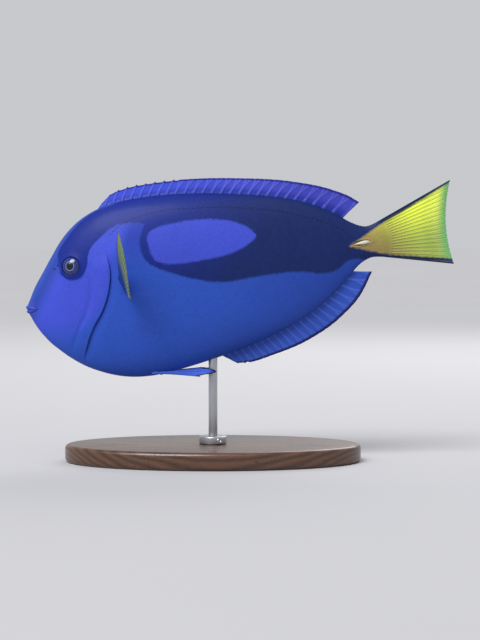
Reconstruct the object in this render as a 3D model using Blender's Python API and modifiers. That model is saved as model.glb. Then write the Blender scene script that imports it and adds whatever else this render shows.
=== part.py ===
"""Life-size display model of a regal blue tang, swimming nose down, on a plain stand.

The fish is shaped level in its own frame: X runs from the snout to the tail, Z is up and the left
flank looks to -Y. One empty then tips it nose down and lifts it over the stand.
"""

import math

import bmesh
import bpy
from mathutils import Matrix, Vector

MM = 0.001

# The whole fish, in metres
LENGTH = 0.220
NOSE_DOWN = math.radians(10.7)
GAP = 0.3 * MM

# Outlines of the body without its fins, as shares of the length: distance behind the snout, then
# height above the long axis or half of the thickness
TOP_SHARES = [
    (0.006, -0.005), (0.014, 0.007), (0.026, 0.026), (0.057, 0.065), (0.080, 0.093), (0.110, 0.127),
    (0.146, 0.156), (0.190, 0.177), (0.240, 0.187), (0.300, 0.189), (0.370, 0.184), (0.450, 0.172),
    (0.540, 0.152), (0.620, 0.130), (0.690, 0.101), (0.740, 0.069), (0.775, 0.041), (0.800, 0.029),
    (0.832, 0.034),
]
BOTTOM_SHARES = [
    (0.006, -0.026), (0.016, -0.054), (0.034, -0.088), (0.062, -0.123), (0.100, -0.159), (0.150, -0.190),
    (0.200, -0.209), (0.250, -0.217), (0.310, -0.216), (0.370, -0.210), (0.440, -0.200), (0.530, -0.182),
    (0.620, -0.153), (0.690, -0.117), (0.740, -0.080), (0.775, -0.053), (0.800, -0.044), (0.832, -0.048),
]
HALF_WIDTH_SHARES = [
    (0.006, 0.010), (0.020, 0.019), (0.040, 0.0265), (0.074, 0.036), (0.110, 0.045), (0.150, 0.054),
    (0.200, 0.062), (0.280, 0.067), (0.360, 0.066), (0.450, 0.060), (0.550, 0.050), (0.650, 0.037),
    (0.720, 0.027), (0.775, 0.018), (0.832, 0.012),
]
WIDEST_LEVEL_SHARES = [(0.006, -0.015), (0.060, -0.004), (0.200, 0.008), (0.400, 0.000), (0.832, -0.007)]

# Where the gill cover ends, by how far up the flank: -1 at the belly, 0 at the widest level, 1 at the back
GILL_EDGE_SHARES = [
    (-1.0, 0.107), (-0.7, 0.124), (-0.45, 0.148), (-0.25, 0.178), (-0.05, 0.200), (0.12, 0.209),
    (0.30, 0.210), (0.60, 0.202), (1.0, 0.190),
]

# Sections of the body
SNOUT_X = 0.006 * LENGTH
STEM_X = 0.757 * LENGTH
TAIL_X = 0.832 * LENGTH
LAND = 1.2 * MM
LAND_SHARE = 0.32
ROUND_ABOVE = 1.2
ROUND_BELOW = 1.0
HALF_RING = 20
HEAD_RINGS = 18
HEAD_CROWDING = 1.25
TRUNK_RINGS = 20
TRUNK_CROWDING = 1.15
STEM_RINGS = 5

# The gill cover stands proud of the shoulder behind it, and the cheek ends in a groove before it
COVER_LIFT = 0.6 * MM
COVER_START = 0.60
COVER_LEVELS = (-0.95, 0.42)
COVER_FADES = (0.30, 0.20)
CHEEK_GROOVE = 0.45 * MM
CHEEK_END = 0.76
CHEEK_GROOVE_REACH = 0.055
SHOULDER_DIP = 0.4 * MM
SHOULDER_LENGTH = 5.0 * MM

# Lips: each a tube round the snout, thinner at the corners of the mouth
MOUTH_Z = -0.015 * LENGTH
LIP_FRONT = 1.0 * MM
LIP_DEPTH = 4.6 * MM
LIP_HALF_WIDTH = 3.9 * MM
LIP_RADIUS = 1.0 * MM
LIP_END_RADIUS = 0.5 * MM
LIP_APART = 1.12 * MM
LIP_END_APART = 0.42 * MM
MOUTH_DROOP = 0.9 * MM
LIP_POINTS = 13

# Nostrils, front one first: place, then radius of the opening
NOSTRILS = [(0.0850 * LENGTH, 0.065 * LENGTH, 0.42 * MM), (0.0945 * LENGTH, 0.072 * LENGTH, 0.36 * MM)]
NOSTRIL_RIM = 0.25 * MM
NOSTRIL_DEPTH = 1.2 * MM
RIM_AROUND = 10
RIM_ACROSS = 5

# Eyes
EYE_X = 0.124 * LENGTH
EYE_Z = 0.064 * LENGTH
EYE_RADIUS = 5.4 * MM
EYE_HALF_DEPTH = 3.2 * MM
EYE_SUNK = 1.6 * MM

# Fins: half thickness of the membrane and of a ray, each at the root and at the margin; how wide a ray's
# ridge is, as a share of the way to the next; and how far the margin steps between spines and soft rays
MEMBRANE_HALF = (0.50 * MM, 0.25 * MM)
RAY_HALF = (1.0 * MM, 0.38 * MM)
RIDGE_SHARE = 0.2
SPINE_OVERSHOOT = 0.05
SOFT_SCALLOP = 0.02
SEAT_GAP = 0.36 * MM

DORSAL_RAYS = 28
DORSAL_SPINES = 9
DORSAL_ROOT = (0.200 * LENGTH, 0.752 * LENGTH)
DORSAL_MARGIN_SHARES = [
    (0.217, 0.193), (0.240, 0.209), (0.275, 0.217), (0.330, 0.218), (0.443, 0.208), (0.528, 0.193),
    (0.653, 0.162), (0.743, 0.125), (0.780, 0.102), (0.798, 0.086),
]
ANAL_RAYS = 22
ANAL_SPINES = 3
ANAL_ROOT = (0.420 * LENGTH, 0.752 * LENGTH)
ANAL_MARGIN_SHARES = [
    (0.438, -0.213), (0.452, -0.2245), (0.478, -0.2290), (0.540, -0.2225), (0.631, -0.202),
    (0.708, -0.166), (0.769, -0.116), (0.798, -0.076),
]
TAIL_RAYS = 18
TAIL_TOP_TIP = (1.013 * LENGTH, 0.098 * LENGTH)
TAIL_BOTTOM_TIP = (0.987 * LENGTH, -0.094 * LENGTH)
TAIL_NOTCH = 0.014 * LENGTH
TAIL_SCALLOP = 0.4 * MM
TAIL_ROOT_SHARE = 0.95

PECTORAL_RAYS = 16
PECTORAL_ROOT_TOP = (0.231 * LENGTH, 0.020 * LENGTH)
PECTORAL_ROOT_LOW = (0.241 * LENGTH, -0.021 * LENGTH)
PECTORAL_LENGTH = 0.178 * LENGTH
PECTORAL_RISE = (math.radians(39), math.radians(-8))
PECTORAL_SWEEP = math.radians(4)
PECTORAL_CURL = 0.07
PECTORAL_FIRST_SHORTER = 0.12
PECTORAL_LAST_SHORTER = 0.52
PECTORAL_THICKNESS_SHARE = 0.75

PELVIC_RAYS = 4
PELVIC_ROOT = (0.258 * LENGTH, 0.288 * LENGTH)
PELVIC_ROOT_Y = (4.8 * MM, 2.8 * MM)
PELVIC_TIPS = [
    (0.362 * LENGTH, 7.4 * MM, -0.2375 * LENGTH),
    (0.402 * LENGTH, 6.6 * MM, -0.2355 * LENGTH),
    (0.398 * LENGTH, 4.8 * MM, -0.2285 * LENGTH),
    (0.370 * LENGTH, 3.2 * MM, -0.2205 * LENGTH),
]
PELVIC_THICKNESS_SHARE = 0.6

# The folded spine on each side of the tail stem
SPINE_X = 0.785 * LENGTH
SPINE_Z = -0.007 * LENGTH
SPINE_HALF_LENGTH = 4.2 * MM
SPINE_HALF_HEIGHT = 1.1 * MM
SPINE_HALF_DEPTH = 0.9 * MM
SPINE_POINT = 0.25
SPINE_TAPER = 1.6

# The stand
BASE_LENGTH = 150 * MM
BASE_WIDTH = 84 * MM
BASE_HEIGHT = 9 * MM
BASE_EDGE = 2 * MM
BELLY_CLEARANCE = 34 * MM
ROD_RADIUS = 2.25 * MM
ROD_X = 0.401 * LENGTH
ROD_SUNK = 10 * MM
ROD_IN_BASE = 5 * MM
COLLAR_RADIUS = 7 * MM
COLLAR_HEIGHT = 4 * MM


def smooth_curve(points):
    """A smooth function through a few points, its slope at each taken from both neighbours."""
    spans = [b[0] - a[0] for a, b in zip(points, points[1:])]
    grades = [(b[1] - a[1]) / span for a, b, span in zip(points, points[1:], spans)]
    slopes = [grades[0]]
    for i in range(1, len(points) - 1):
        before, after = spans[i - 1], spans[i]
        slopes.append((grades[i - 1] * after + grades[i] * before) / (before + after))
    slopes.append(grades[-1])

    def value(x):
        i = 0
        while i < len(spans) - 1 and x > points[i + 1][0]:
            i += 1
        span = spans[i]
        t = min(max((x - points[i][0]) / span, 0.0), 1.0)
        start = points[i][1] * (1 + 2 * t) * (1 - t) ** 2 + slopes[i] * span * t * (1 - t) ** 2
        end = points[i + 1][1] * t * t * (3 - 2 * t) + slopes[i + 1] * span * t * t * (t - 1)
        return start + end

    return value


def smooth_curves(points):
    """One smooth function for each coordinate of some places, as a function of the first value."""
    curves = [smooth_curve([(x, place[k]) for x, place in points]) for k in range(3)]
    return lambda x: [curve(x) for curve in curves]


def scaled_curve(shares):
    return smooth_curve([(x * LENGTH, y * LENGTH) for x, y in shares])


top_of = scaled_curve(TOP_SHARES)
bottom_of = scaled_curve(BOTTOM_SHARES)
half_width_of = scaled_curve(HALF_WIDTH_SHARES)
widest_level_of = scaled_curve(WIDEST_LEVEL_SHARES)
gill_edge_of = smooth_curve([(level, x * LENGTH) for level, x in GILL_EDGE_SHARES])


def ease(t):
    t = min(max(t, 0.0), 1.0)
    return t * t * (3 - 2 * t)


def blend(a, b, t):
    return a + (b - a) * t


def land_of(x):
    """Half of the flat along the back and the belly that the fins stand on."""
    return min(LAND, LAND_SHARE * half_width_of(x))


def section_point(x, angle):
    """Half thickness and height of the body's surface, at an angle from the widest level."""
    level = math.sin(angle)
    middle = widest_level_of(x)
    edge = top_of(x) if level > 0 else bottom_of(x)
    fullness = ROUND_ABOVE if level > 0 else ROUND_BELOW
    land = land_of(x)
    across = land + (half_width_of(x) - land) * max(math.cos(angle), 0.0) ** fullness
    return across, middle + (edge - middle) * abs(level)


def flank_y(x, z):
    """Half thickness of the body at a place on its side."""
    middle = widest_level_of(x)
    edge = top_of(x) if z > middle else bottom_of(x)
    angle = math.asin(min(abs((z - middle) / (edge - middle)), 1.0))
    return section_point(x, angle if z > middle else -angle)[0]


def belly_z(x, y):
    """Height of the belly's surface at a distance from the middle."""
    land = land_of(x)
    if y <= land:
        return bottom_of(x)
    cosine = ((y - land) / (half_width_of(x) - land)) ** (1 / ROUND_BELOW)
    return section_point(x, -math.acos(min(cosine, 1.0)))[1]


def flank_point(x, z):
    return Vector((x, -flank_y(x, z), z))


def flank_normal(x, z):
    """Outward direction of the left flank."""
    step = 0.5 * MM
    along = flank_point(x + step, z) - flank_point(x - step, z)
    up = flank_point(x, z + step) - flank_point(x, z - step)
    return along.cross(up).normalized()


def cover_window(level):
    """One along the free edge of the gill cover, fading out at its two ends."""
    low = ease((level - COVER_LEVELS[0]) / COVER_FADES[0])
    high = ease((COVER_LEVELS[1] - level) / COVER_FADES[1])
    return low * high


def ring(x_at, swell_at):
    """Points round the body, up the left flank and down the right one."""
    left = []
    for j in range(HALF_RING + 1):
        angle = math.pi * (j / HALF_RING - 0.5)
        level = math.sin(angle)
        x = x_at(level)
        across, z = section_point(x, angle)
        left.append(Vector((x, -(across + swell_at(level)), z)))
    return left + [Vector((p.x, -p.y, p.z)) for p in reversed(left)]


def new_collection(name):
    collection = bpy.data.collections.new(name)
    bpy.context.scene.collection.children.link(collection)
    return collection


def finish(name, colour, roughness, metallic=0.0):
    material = bpy.data.materials.new(name)
    material.use_nodes = True
    shader = material.node_tree.nodes["Principled BSDF"]
    shader.inputs["Base Color"].default_value = (*colour, 1.0)
    shader.inputs["Roughness"].default_value = roughness
    shader.inputs["Metallic"].default_value = metallic
    return material


def mesh_object(name, bm, material, collection):
    bmesh.ops.recalc_face_normals(bm, faces=bm.faces)
    mesh = bpy.data.meshes.new(name)
    bm.to_mesh(mesh)
    bm.free()
    mesh.materials.append(material)
    mesh.shade_smooth()
    obj = bpy.data.objects.new(name, mesh)
    collection.objects.link(obj)
    return obj


def add_strip(bm, first, second, closed=False):
    """Triangles between two rows of as many points."""
    count = len(first) if closed else len(first) - 1
    for j in range(count):
        k = (j + 1) % len(first)
        bm.faces.new((first[j], first[k], second[k]))
        bm.faces.new((first[j], second[k], second[j]))


def lofted(name, rings, material, collection):
    """A closed body through rings that are each alike on their left and right halves."""
    bm = bmesh.new()
    rows = [[bm.verts.new(p) for p in points] for points in rings]
    for before, after in zip(rows, rows[1:]):
        add_strip(bm, before, after, closed=True)
    for end in (rows[0], rows[-1]):
        half = len(end) // 2
        add_strip(bm, end[:half], end[:half - 1:-1])
    return mesh_object(name, bm, material, collection)


def mirrored(source, name, collection):
    """The same piece on the right side of the body."""
    flip = Matrix.Scale(-1, 4, (0, 1, 0))
    mesh = source.data.copy()
    mesh.name = name
    mesh.transform(flip)
    mesh.flip_normals()
    obj = bpy.data.objects.new(name, mesh)
    obj.matrix_basis = flip @ source.matrix_basis @ flip
    collection.objects.link(obj)
    return obj


def cut(target, cutter):
    modifier = target.modifiers.new("Cut", "BOOLEAN")
    modifier.operation = "DIFFERENCE"
    modifier.solver = "EXACT"
    modifier.object = cutter


def evaluated_mesh(obj):
    bpy.context.view_layer.update()
    depsgraph = bpy.context.evaluated_depsgraph_get()
    return bpy.data.meshes.new_from_object(obj.evaluated_get(depsgraph))


def fuse(target, group):
    """Joins the pieces of a collection to the target as one closed body, and removes them."""
    modifier = target.modifiers.new("Fuse", "BOOLEAN")
    modifier.operation = "UNION"
    modifier.solver = "EXACT"
    modifier.operand_type = "COLLECTION"
    modifier.collection = group
    mesh = evaluated_mesh(target)
    target.modifiers.clear()
    target.data = mesh
    for piece in list(group.objects):
        bpy.data.objects.remove(piece, do_unlink=True)
    bpy.data.collections.remove(group)


def head_rings():
    """From the snout to the free edge of the gill cover."""
    def swell(level, share):
        lift = COVER_LIFT * ease((share - COVER_START) / (1 - COVER_START))
        groove = CHEEK_GROOVE * max(0.0, 1 - abs(share - CHEEK_END) / CHEEK_GROOVE_REACH)
        return (lift - groove) * cover_window(level)

    rings = []
    for i in range(HEAD_RINGS + 1):
        share = (i / HEAD_RINGS) ** HEAD_CROWDING
        rings.append(ring(
            lambda level: blend(SNOUT_X, gill_edge_of(level), share),
            lambda level: swell(level, share),
        ))
    return rings


def trunk_rings():
    """From just behind the gill cover to the tail stem."""
    shift = 1.5 * GAP
    end = STEM_X - GAP

    def swell(level, share):
        behind = share * (end - gill_edge_of(level))
        return -SHOULDER_DIP * cover_window(level) * (1 - ease(behind / SHOULDER_LENGTH))

    rings = []
    for i in range(TRUNK_RINGS + 1):
        share = (i / TRUNK_RINGS) ** TRUNK_CROWDING
        rings.append(ring(
            lambda level: blend(gill_edge_of(level) + shift, end, share),
            lambda level: swell(level, share),
        ))
    return rings


def stem_rings():
    rings = []
    for i in range(STEM_RINGS + 1):
        x = blend(STEM_X, TAIL_X - GAP, i / STEM_RINGS)
        rings.append(ring(lambda level: x, lambda level: 0.0))
    return rings


def lip_tube(name, side, collection):
    """A tube round the front of the snout, above (1) or below (-1) the line of the mouth."""
    curve = bpy.data.curves.new(name, "CURVE")
    curve.dimensions = "3D"
    curve.bevel_depth = 1.0
    curve.bevel_resolution = 2
    curve.use_fill_caps = True
    spline = curve.splines.new("POLY")
    spline.points.add(LIP_POINTS - 1)
    for i, point in enumerate(spline.points):
        angle = math.pi * (i / (LIP_POINTS - 1) - 0.5)
        front = math.cos(angle)
        x = LIP_FRONT + LIP_DEPTH * (1 - front)
        apart = blend(LIP_END_APART, LIP_APART, front ** 0.7)
        z = MOUTH_Z + side * apart - MOUTH_DROOP * (1 - front)
        point.co = (x, LIP_HALF_WIDTH * math.sin(angle), z, 1.0)
        point.radius = blend(LIP_END_RADIUS, LIP_RADIUS, front ** 0.5)
    tube = bpy.data.objects.new(name, curve)
    collection.objects.link(tube)
    bm = bmesh.new()
    bm.from_mesh(evaluated_mesh(tube))
    bmesh.ops.remove_doubles(bm, verts=bm.verts, dist=0.001 * MM)
    bpy.data.objects.remove(tube, do_unlink=True)
    return bm


def nostril_rim(x, z, radius):
    """A low ring of skin round a nostril, set on the flank."""
    bm = bmesh.new()
    rows = []
    for i in range(RIM_AROUND):
        turn = 2 * math.pi * i / RIM_AROUND
        row = []
        for j in range(RIM_ACROSS):
            roll = 2 * math.pi * j / RIM_ACROSS
            reach = radius + NOSTRIL_RIM * (1 + math.cos(roll))
            row.append(bm.verts.new((
                reach * math.cos(turn), reach * math.sin(turn), NOSTRIL_RIM * math.sin(roll),
            )))
        rows.append(row)
    for row, after in zip(rows, rows[1:] + rows[:1]):
        add_strip(bm, row, after, closed=True)
    bm.transform(facing(flank_point(x, z), flank_normal(x, z)))
    return bm


def facing(place, direction):
    """A frame at a place, its Z along the direction."""
    return Matrix.Translation(place) @ direction.to_track_quat("Z", "Y").to_matrix().to_4x4()


def ray_columns(count):
    """Places along a fin from 0 to 1: each ray's crest (1) and the membrane's edge beside it (0)."""
    spacing = 1 / (count - 1)
    columns = []
    for i in range(count):
        if i > 0:
            columns.append(((i - RIDGE_SHARE) * spacing, 0))
        columns.append((i * spacing, 1))
        if i < count - 1:
            columns.append(((i + RIDGE_SHARE) * spacing, 0))
    return columns


def half_thickness(crest, v):
    """Half thickness of a fin, at a share of the way from its root to its margin."""
    root, margin = RAY_HALF if crest else MEMBRANE_HALF
    return blend(root, margin, v)


def membrane(name, rows, halves, normals, seat, material, collection):
    """A closed blade to both sides of a middle surface, split into triangles alike on both faces.

    The first row is the root; seat moves its points onto what the fin grows from."""
    bm = bmesh.new()
    sides = []
    for sign in (1, -1):
        side = [
            [p + n * (sign * t) for p, t, n in zip(points, half, normal)]
            for points, half, normal in zip(rows, halves, normals)
        ]
        side[0] = [seat(p) for p in side[0]]
        sides.append([[bm.verts.new(p) for p in points] for points in side])
    for side in sides:
        for before, after in zip(side, side[1:]):
            add_strip(bm, before, after)
    front, back = sides
    add_strip(bm, front[0], back[0])
    add_strip(bm, front[-1], back[-1])
    for column in (0, -1):
        add_strip(bm, [row[column] for row in front], [row[column] for row in back])
    return mesh_object(name, bm, material, collection)


def upright_fin(name, rays, spines, root, root_height, margin_shares, gap, material, collection):
    """A fin on the middle line, its rays leaning back from the root to the margin."""
    margin = scaled_curve(margin_shares)
    margin_start = margin_shares[0][0] * LENGTH
    margin_end = margin_shares[-1][0] * LENGTH
    spiny = (spines - 0.5) / (rays - 1)
    steps = 4
    rows = [[] for _ in range(steps)]
    halves = [[] for _ in range(steps)]
    for u, crest in ray_columns(rays):
        root_x = blend(root[0], root[1], u)
        tip_x = blend(margin_start, margin_end, u)
        foot = Vector((root_x, 0, root_height(root_x) + gap))
        if u < spiny:
            reach = 1 + SPINE_OVERSHOOT * (2 * crest - 1)
        else:
            reach = 1 - SOFT_SCALLOP * (1 - crest)
        tip = foot.lerp(Vector((tip_x, 0, margin(tip_x))), reach)
        for i in range(steps):
            v = i / (steps - 1)
            rows[i].append(foot.lerp(tip, v))
            halves[i].append(half_thickness(crest, v))
    normals = [[Vector((0, 1, 0))] * len(rows[0])] * steps
    return membrane(name, rows, halves, normals, lambda p: p, material, collection)


def tail_fin(material, collection):
    """The fan of the tail, as thick at its root as the stem and thin at the margin."""
    steps = 6
    rows = [[] for _ in range(steps)]
    halves = [[] for _ in range(steps)]
    low, high = bottom_of(TAIL_X), top_of(TAIL_X)
    for u, crest in ray_columns(TAIL_RAYS):
        root = Vector((TAIL_X, 0, blend(low, high, u)))
        notch = TAIL_NOTCH * (1 - (2 * u - 1) ** 2) + TAIL_SCALLOP * (1 - crest)
        tip = Vector((
            blend(TAIL_BOTTOM_TIP[0], TAIL_TOP_TIP[0], u) - notch, 0,
            blend(TAIL_BOTTOM_TIP[1], TAIL_TOP_TIP[1], u),
        ))
        root_half = TAIL_ROOT_SHARE * flank_y(TAIL_X, root.z)
        for i in range(steps):
            v = i / (steps - 1)
            rows[i].append(root.lerp(tip, v))
            blade = half_thickness(crest, v) if i > 0 else root_half
            halves[i].append(max(blade, blend(MEMBRANE_HALF[1], root_half, (1 - v) ** 3)))
    normals = [[Vector((0, 1, 0))] * len(rows[0])] * steps
    return membrane("tail_fin", rows, halves, normals, lambda p: p, material, collection)


def blade_normals(rows):
    """Directions square to a curved blade, from each point's neighbours."""
    normals = []
    last = len(rows) - 1
    for i, row in enumerate(rows):
        line = []
        for j in range(len(row)):
            out = rows[min(i + 1, last)][j] - rows[max(i - 1, 0)][j]
            along = row[min(j + 1, len(row) - 1)] - row[max(j - 1, 0)]
            line.append(out.cross(along).normalized())
        normals.append(line)
    return normals


def pectoral_fin(name, material, collection):
    """The left fin behind the gill cover, held out from the flank with its blade across the body."""
    steps = 5
    rows = [[] for _ in range(steps)]
    halves = [[] for _ in range(steps)]
    for u, crest in ray_columns(PECTORAL_RAYS):
        x = blend(PECTORAL_ROOT_TOP[0], PECTORAL_ROOT_LOW[0], u)
        z = blend(PECTORAL_ROOT_TOP[1], PECTORAL_ROOT_LOW[1], u)
        rise = blend(PECTORAL_RISE[0], PECTORAL_RISE[1], u)
        shorter = PECTORAL_FIRST_SHORTER * (1 - u) ** 6 + PECTORAL_LAST_SHORTER * u ** 1.5
        reach = PECTORAL_LENGTH * (1 - shorter)
        reach *= 1 - SOFT_SCALLOP * (1 - crest)
        heading = Vector((
            math.sin(PECTORAL_SWEEP), -math.cos(PECTORAL_SWEEP) * math.cos(rise), math.sin(rise),
        )).normalized()
        root = flank_point(x, z)
        for i in range(steps):
            v = i / (steps - 1)
            rows[i].append(root + heading * (reach * v) + Vector((PECTORAL_CURL * reach * v * v, 0, 0)))
            halves[i].append(max(half_thickness(crest, v) * PECTORAL_THICKNESS_SHARE, MEMBRANE_HALF[1]))

    def seat(p):
        return Vector((p.x, -flank_y(p.x, p.z) - SEAT_GAP, p.z))

    return membrane(name, rows, halves, blade_normals(rows), seat, material, collection)


def pelvic_fin(name, material, collection):
    """The left fin under the belly, folded back."""
    steps = 4
    rows = [[] for _ in range(steps)]
    halves = [[] for _ in range(steps)]
    tips = smooth_curves([(i / (PELVIC_RAYS - 1), tip) for i, tip in enumerate(PELVIC_TIPS)])
    for u, crest in ray_columns(PELVIC_RAYS):
        x = blend(PELVIC_ROOT[0], PELVIC_ROOT[1], u)
        y = blend(PELVIC_ROOT_Y[0], PELVIC_ROOT_Y[1], u)
        root = Vector((x, -y, belly_z(x, y) - 2 * GAP))
        tip_x, tip_y, tip_z = tips(u)
        tip = Vector((tip_x, -tip_y, tip_z))
        for i in range(steps):
            v = i / (steps - 1)
            rows[i].append(root.lerp(tip, v))
            halves[i].append(max(half_thickness(crest, v) * PELVIC_THICKNESS_SHARE, MEMBRANE_HALF[1]))

    def seat(p):
        return Vector((p.x, p.y, min(p.z, belly_z(p.x, -p.y) - SEAT_GAP)))

    return membrane(name, rows, halves, blade_normals(rows), seat, material, collection)


def ellipsoid(name, frame, radius, half_depth, material, collection):
    """A flattened ball with its short axis along the frame's Z."""
    bm = bmesh.new()
    bmesh.ops.create_uvsphere(bm, u_segments=20, v_segments=10, radius=1.0)
    bmesh.ops.scale(bm, vec=(radius, radius, half_depth), verts=bm.verts)
    obj = mesh_object(name, bm, material, collection)
    obj.matrix_basis = frame
    return obj


def tail_spine(name, growth, material, collection):
    """The folded spine: a flat blade along the stem, tapering forward to its point."""
    bm = bmesh.new()
    bmesh.ops.create_uvsphere(bm, u_segments=10, v_segments=8, radius=1.0)
    bmesh.ops.rotate(bm, matrix=Matrix.Rotation(math.radians(90), 3, "Y"), verts=bm.verts)
    for vert in bm.verts:
        taper = blend(SPINE_POINT, 1.0, ease((vert.co.x + 1) / SPINE_TAPER))
        vert.co.x *= SPINE_HALF_LENGTH + growth
        vert.co.y *= SPINE_HALF_DEPTH * taper + growth
        vert.co.z *= SPINE_HALF_HEIGHT * taper + growth
    obj = mesh_object(name, bm, material, collection)
    normal = flank_normal(SPINE_X, SPINE_Z)
    obj.location = flank_point(SPINE_X, SPINE_Z)
    obj.rotation_euler = (0, 0, math.atan2(normal.x, -normal.y))
    return obj


def cylinder(name, radius, bottom, top, centre_x, sides, material, collection):
    bm = bmesh.new()
    bmesh.ops.create_cone(
        bm, cap_ends=True, segments=sides, radius1=radius, radius2=radius, depth=top - bottom,
    )
    obj = mesh_object(name, bm, material, collection)
    obj.location = (centre_x, 0, (bottom + top) / 2)
    obj.data.set_sharp_from_angle(angle=math.radians(40))
    return obj


for old in list(bpy.data.objects):
    bpy.data.objects.remove(old, do_unlink=True)

parts = new_collection("regal_blue_tang")
cutters = new_collection("cutters")

skin_blue = finish("skin_blue", (0.06, 0.11, 0.55), 0.4)
fin_blue = finish("fin_blue", (0.05, 0.09, 0.45), 0.4)
tail_yellow = finish("tail_yellow", (0.75, 0.72, 0.06), 0.4)
eye_dark = finish("eye_dark", (0.01, 0.01, 0.02), 0.1)
spine_pale = finish("spine_pale", (0.7, 0.75, 0.8), 0.3)
steel = finish("steel", (0.6, 0.6, 0.6), 0.3, 1.0)
dark_wood = finish("dark_wood", (0.09, 0.045, 0.02), 0.4)

head = lofted("head", head_rings(), skin_blue, parts)
trunk = lofted("trunk", trunk_rings(), skin_blue, parts)
tail_stem = lofted("tail_stem", stem_rings(), tail_yellow, parts)

# Lips and the rims of the nostrils grow from the head, and the nostrils are sunk into it
features = new_collection("features")
mesh_object("upper_lip", lip_tube("upper_lip_line", 1, features), skin_blue, features)
mesh_object("lower_lip", lip_tube("lower_lip_line", -1, features), skin_blue, features)
for i, (x, z, radius) in enumerate(NOSTRILS):
    rim = mesh_object(f"rim_left_{i}", nostril_rim(x, z, radius), skin_blue, features)
    mirrored(rim, f"rim_right_{i}", features)
fuse(head, features)
for i, (x, z, radius) in enumerate(NOSTRILS):
    pit = cylinder(f"pit_left_{i}", radius, -NOSTRIL_DEPTH, NOSTRIL_DEPTH, 0, 10, skin_blue, cutters)
    pit.matrix_basis = facing(flank_point(x, z), flank_normal(x, z))
    for cutter in (pit, mirrored(pit, f"pit_right_{i}", cutters)):
        cut(head, cutter)

eye_axis = flank_normal(EYE_X, EYE_Z)
eye_frame = facing(flank_point(EYE_X, EYE_Z) - eye_axis * EYE_SUNK, eye_axis)
eye = ellipsoid("eye_left", eye_frame, EYE_RADIUS, EYE_HALF_DEPTH, eye_dark, parts)
mirrored(eye, "eye_right", parts)
socket = ellipsoid("socket_left", eye_frame, EYE_RADIUS + GAP, EYE_HALF_DEPTH + GAP, eye_dark, cutters)
for cutter in (socket, mirrored(socket, "socket_right", cutters)):
    cut(head, cutter)

upright_fin(
    "dorsal_fin", DORSAL_RAYS, DORSAL_SPINES, DORSAL_ROOT, top_of, DORSAL_MARGIN_SHARES, SEAT_GAP,
    fin_blue, parts,
)
upright_fin(
    "anal_fin", ANAL_RAYS, ANAL_SPINES, ANAL_ROOT, bottom_of, ANAL_MARGIN_SHARES, -SEAT_GAP,
    fin_blue, parts,
)
tail_fin(tail_yellow, parts)
pectoral = pectoral_fin("pectoral_fin_left", tail_yellow, parts)
pelvic = pelvic_fin("pelvic_fin_left", fin_blue, parts)
mirrored(pectoral, "pectoral_fin_right", parts)
mirrored(pelvic, "pelvic_fin_right", parts)

spine = tail_spine("tail_spine_left", 0.0, spine_pale, parts)
mirrored(spine, "tail_spine_right", parts)
sheath = tail_spine("sheath_left", GAP, spine_pale, cutters)
for cutter in (sheath, mirrored(sheath, "sheath_right", cutters)):
    cut(tail_stem, cutter)

# The pose: nose down, centred over the origin, the belly clear of the base
pose = bpy.data.objects.new("pose", None)
parts.objects.link(pose)
tilt = Matrix.Rotation(-NOSE_DOWN, 4, "Y")
fish = [obj for obj in list(parts.objects) + list(cutters.objects) if obj.type == "MESH"]
corners = [tilt @ obj.matrix_basis @ v.co for obj in fish for v in obj.data.vertices]
lift = BASE_HEIGHT + BELLY_CLEARANCE - min(p.z for p in corners)
centre = (min(p.x for p in corners) + max(p.x for p in corners)) / 2
pose.matrix_basis = Matrix.Translation((-centre, 0, lift)) @ tilt
for obj in fish:
    obj.parent = pose

# The stand: a rod from a hole in the base to a hole in the belly, and a collar at its foot
belly = pose.matrix_basis @ Vector((ROD_X, 0, bottom_of(ROD_X)))
rod_foot = BASE_HEIGHT - ROD_IN_BASE
rod_head = belly.z + ROD_SUNK
cylinder("stand_rod", ROD_RADIUS, rod_foot, rod_head, belly.x, 20, steel, parts)
rod_hole = cylinder(
    "rod_hole", ROD_RADIUS + GAP, rod_foot - GAP, rod_head + GAP, belly.x, 20, steel, cutters,
)
cut(trunk, rod_hole)

base = cylinder("stand_base", 0.5, 0, BASE_HEIGHT, belly.x, 64, dark_wood, parts)
base.data.transform(Matrix.Diagonal((BASE_LENGTH, BASE_WIDTH, 1, 1)))
edge = base.modifiers.new("Edge", "BEVEL")
edge.width = BASE_EDGE
edge.segments = 2
edge.limit_method = "ANGLE"
edge.angle_limit = math.radians(60)
cut(base, rod_hole)

collar = cylinder(
    "stand_collar", COLLAR_RADIUS, BASE_HEIGHT + GAP, BASE_HEIGHT + COLLAR_HEIGHT, belly.x, 32, steel, parts,
)
cut(collar, rod_hole)

for cutter in cutters.objects:
    cutter.hide_render = True
    cutter.display_type = "WIRE"
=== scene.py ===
# %% [markdown]
# This lesson dresses a life-size display model of a regal blue tang, a reef fish as flat as a plate.
# The solids of the model are already made and come in as a fixed frame. Each one gets a finer piece
# in its place, or a finish. The box round the solids is kept, and the lights and the camera aim at its
# middle.

# %% Load the frame
import math

import bmesh
import bpy
import numpy as np
from mathutils import Matrix, Vector


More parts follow.
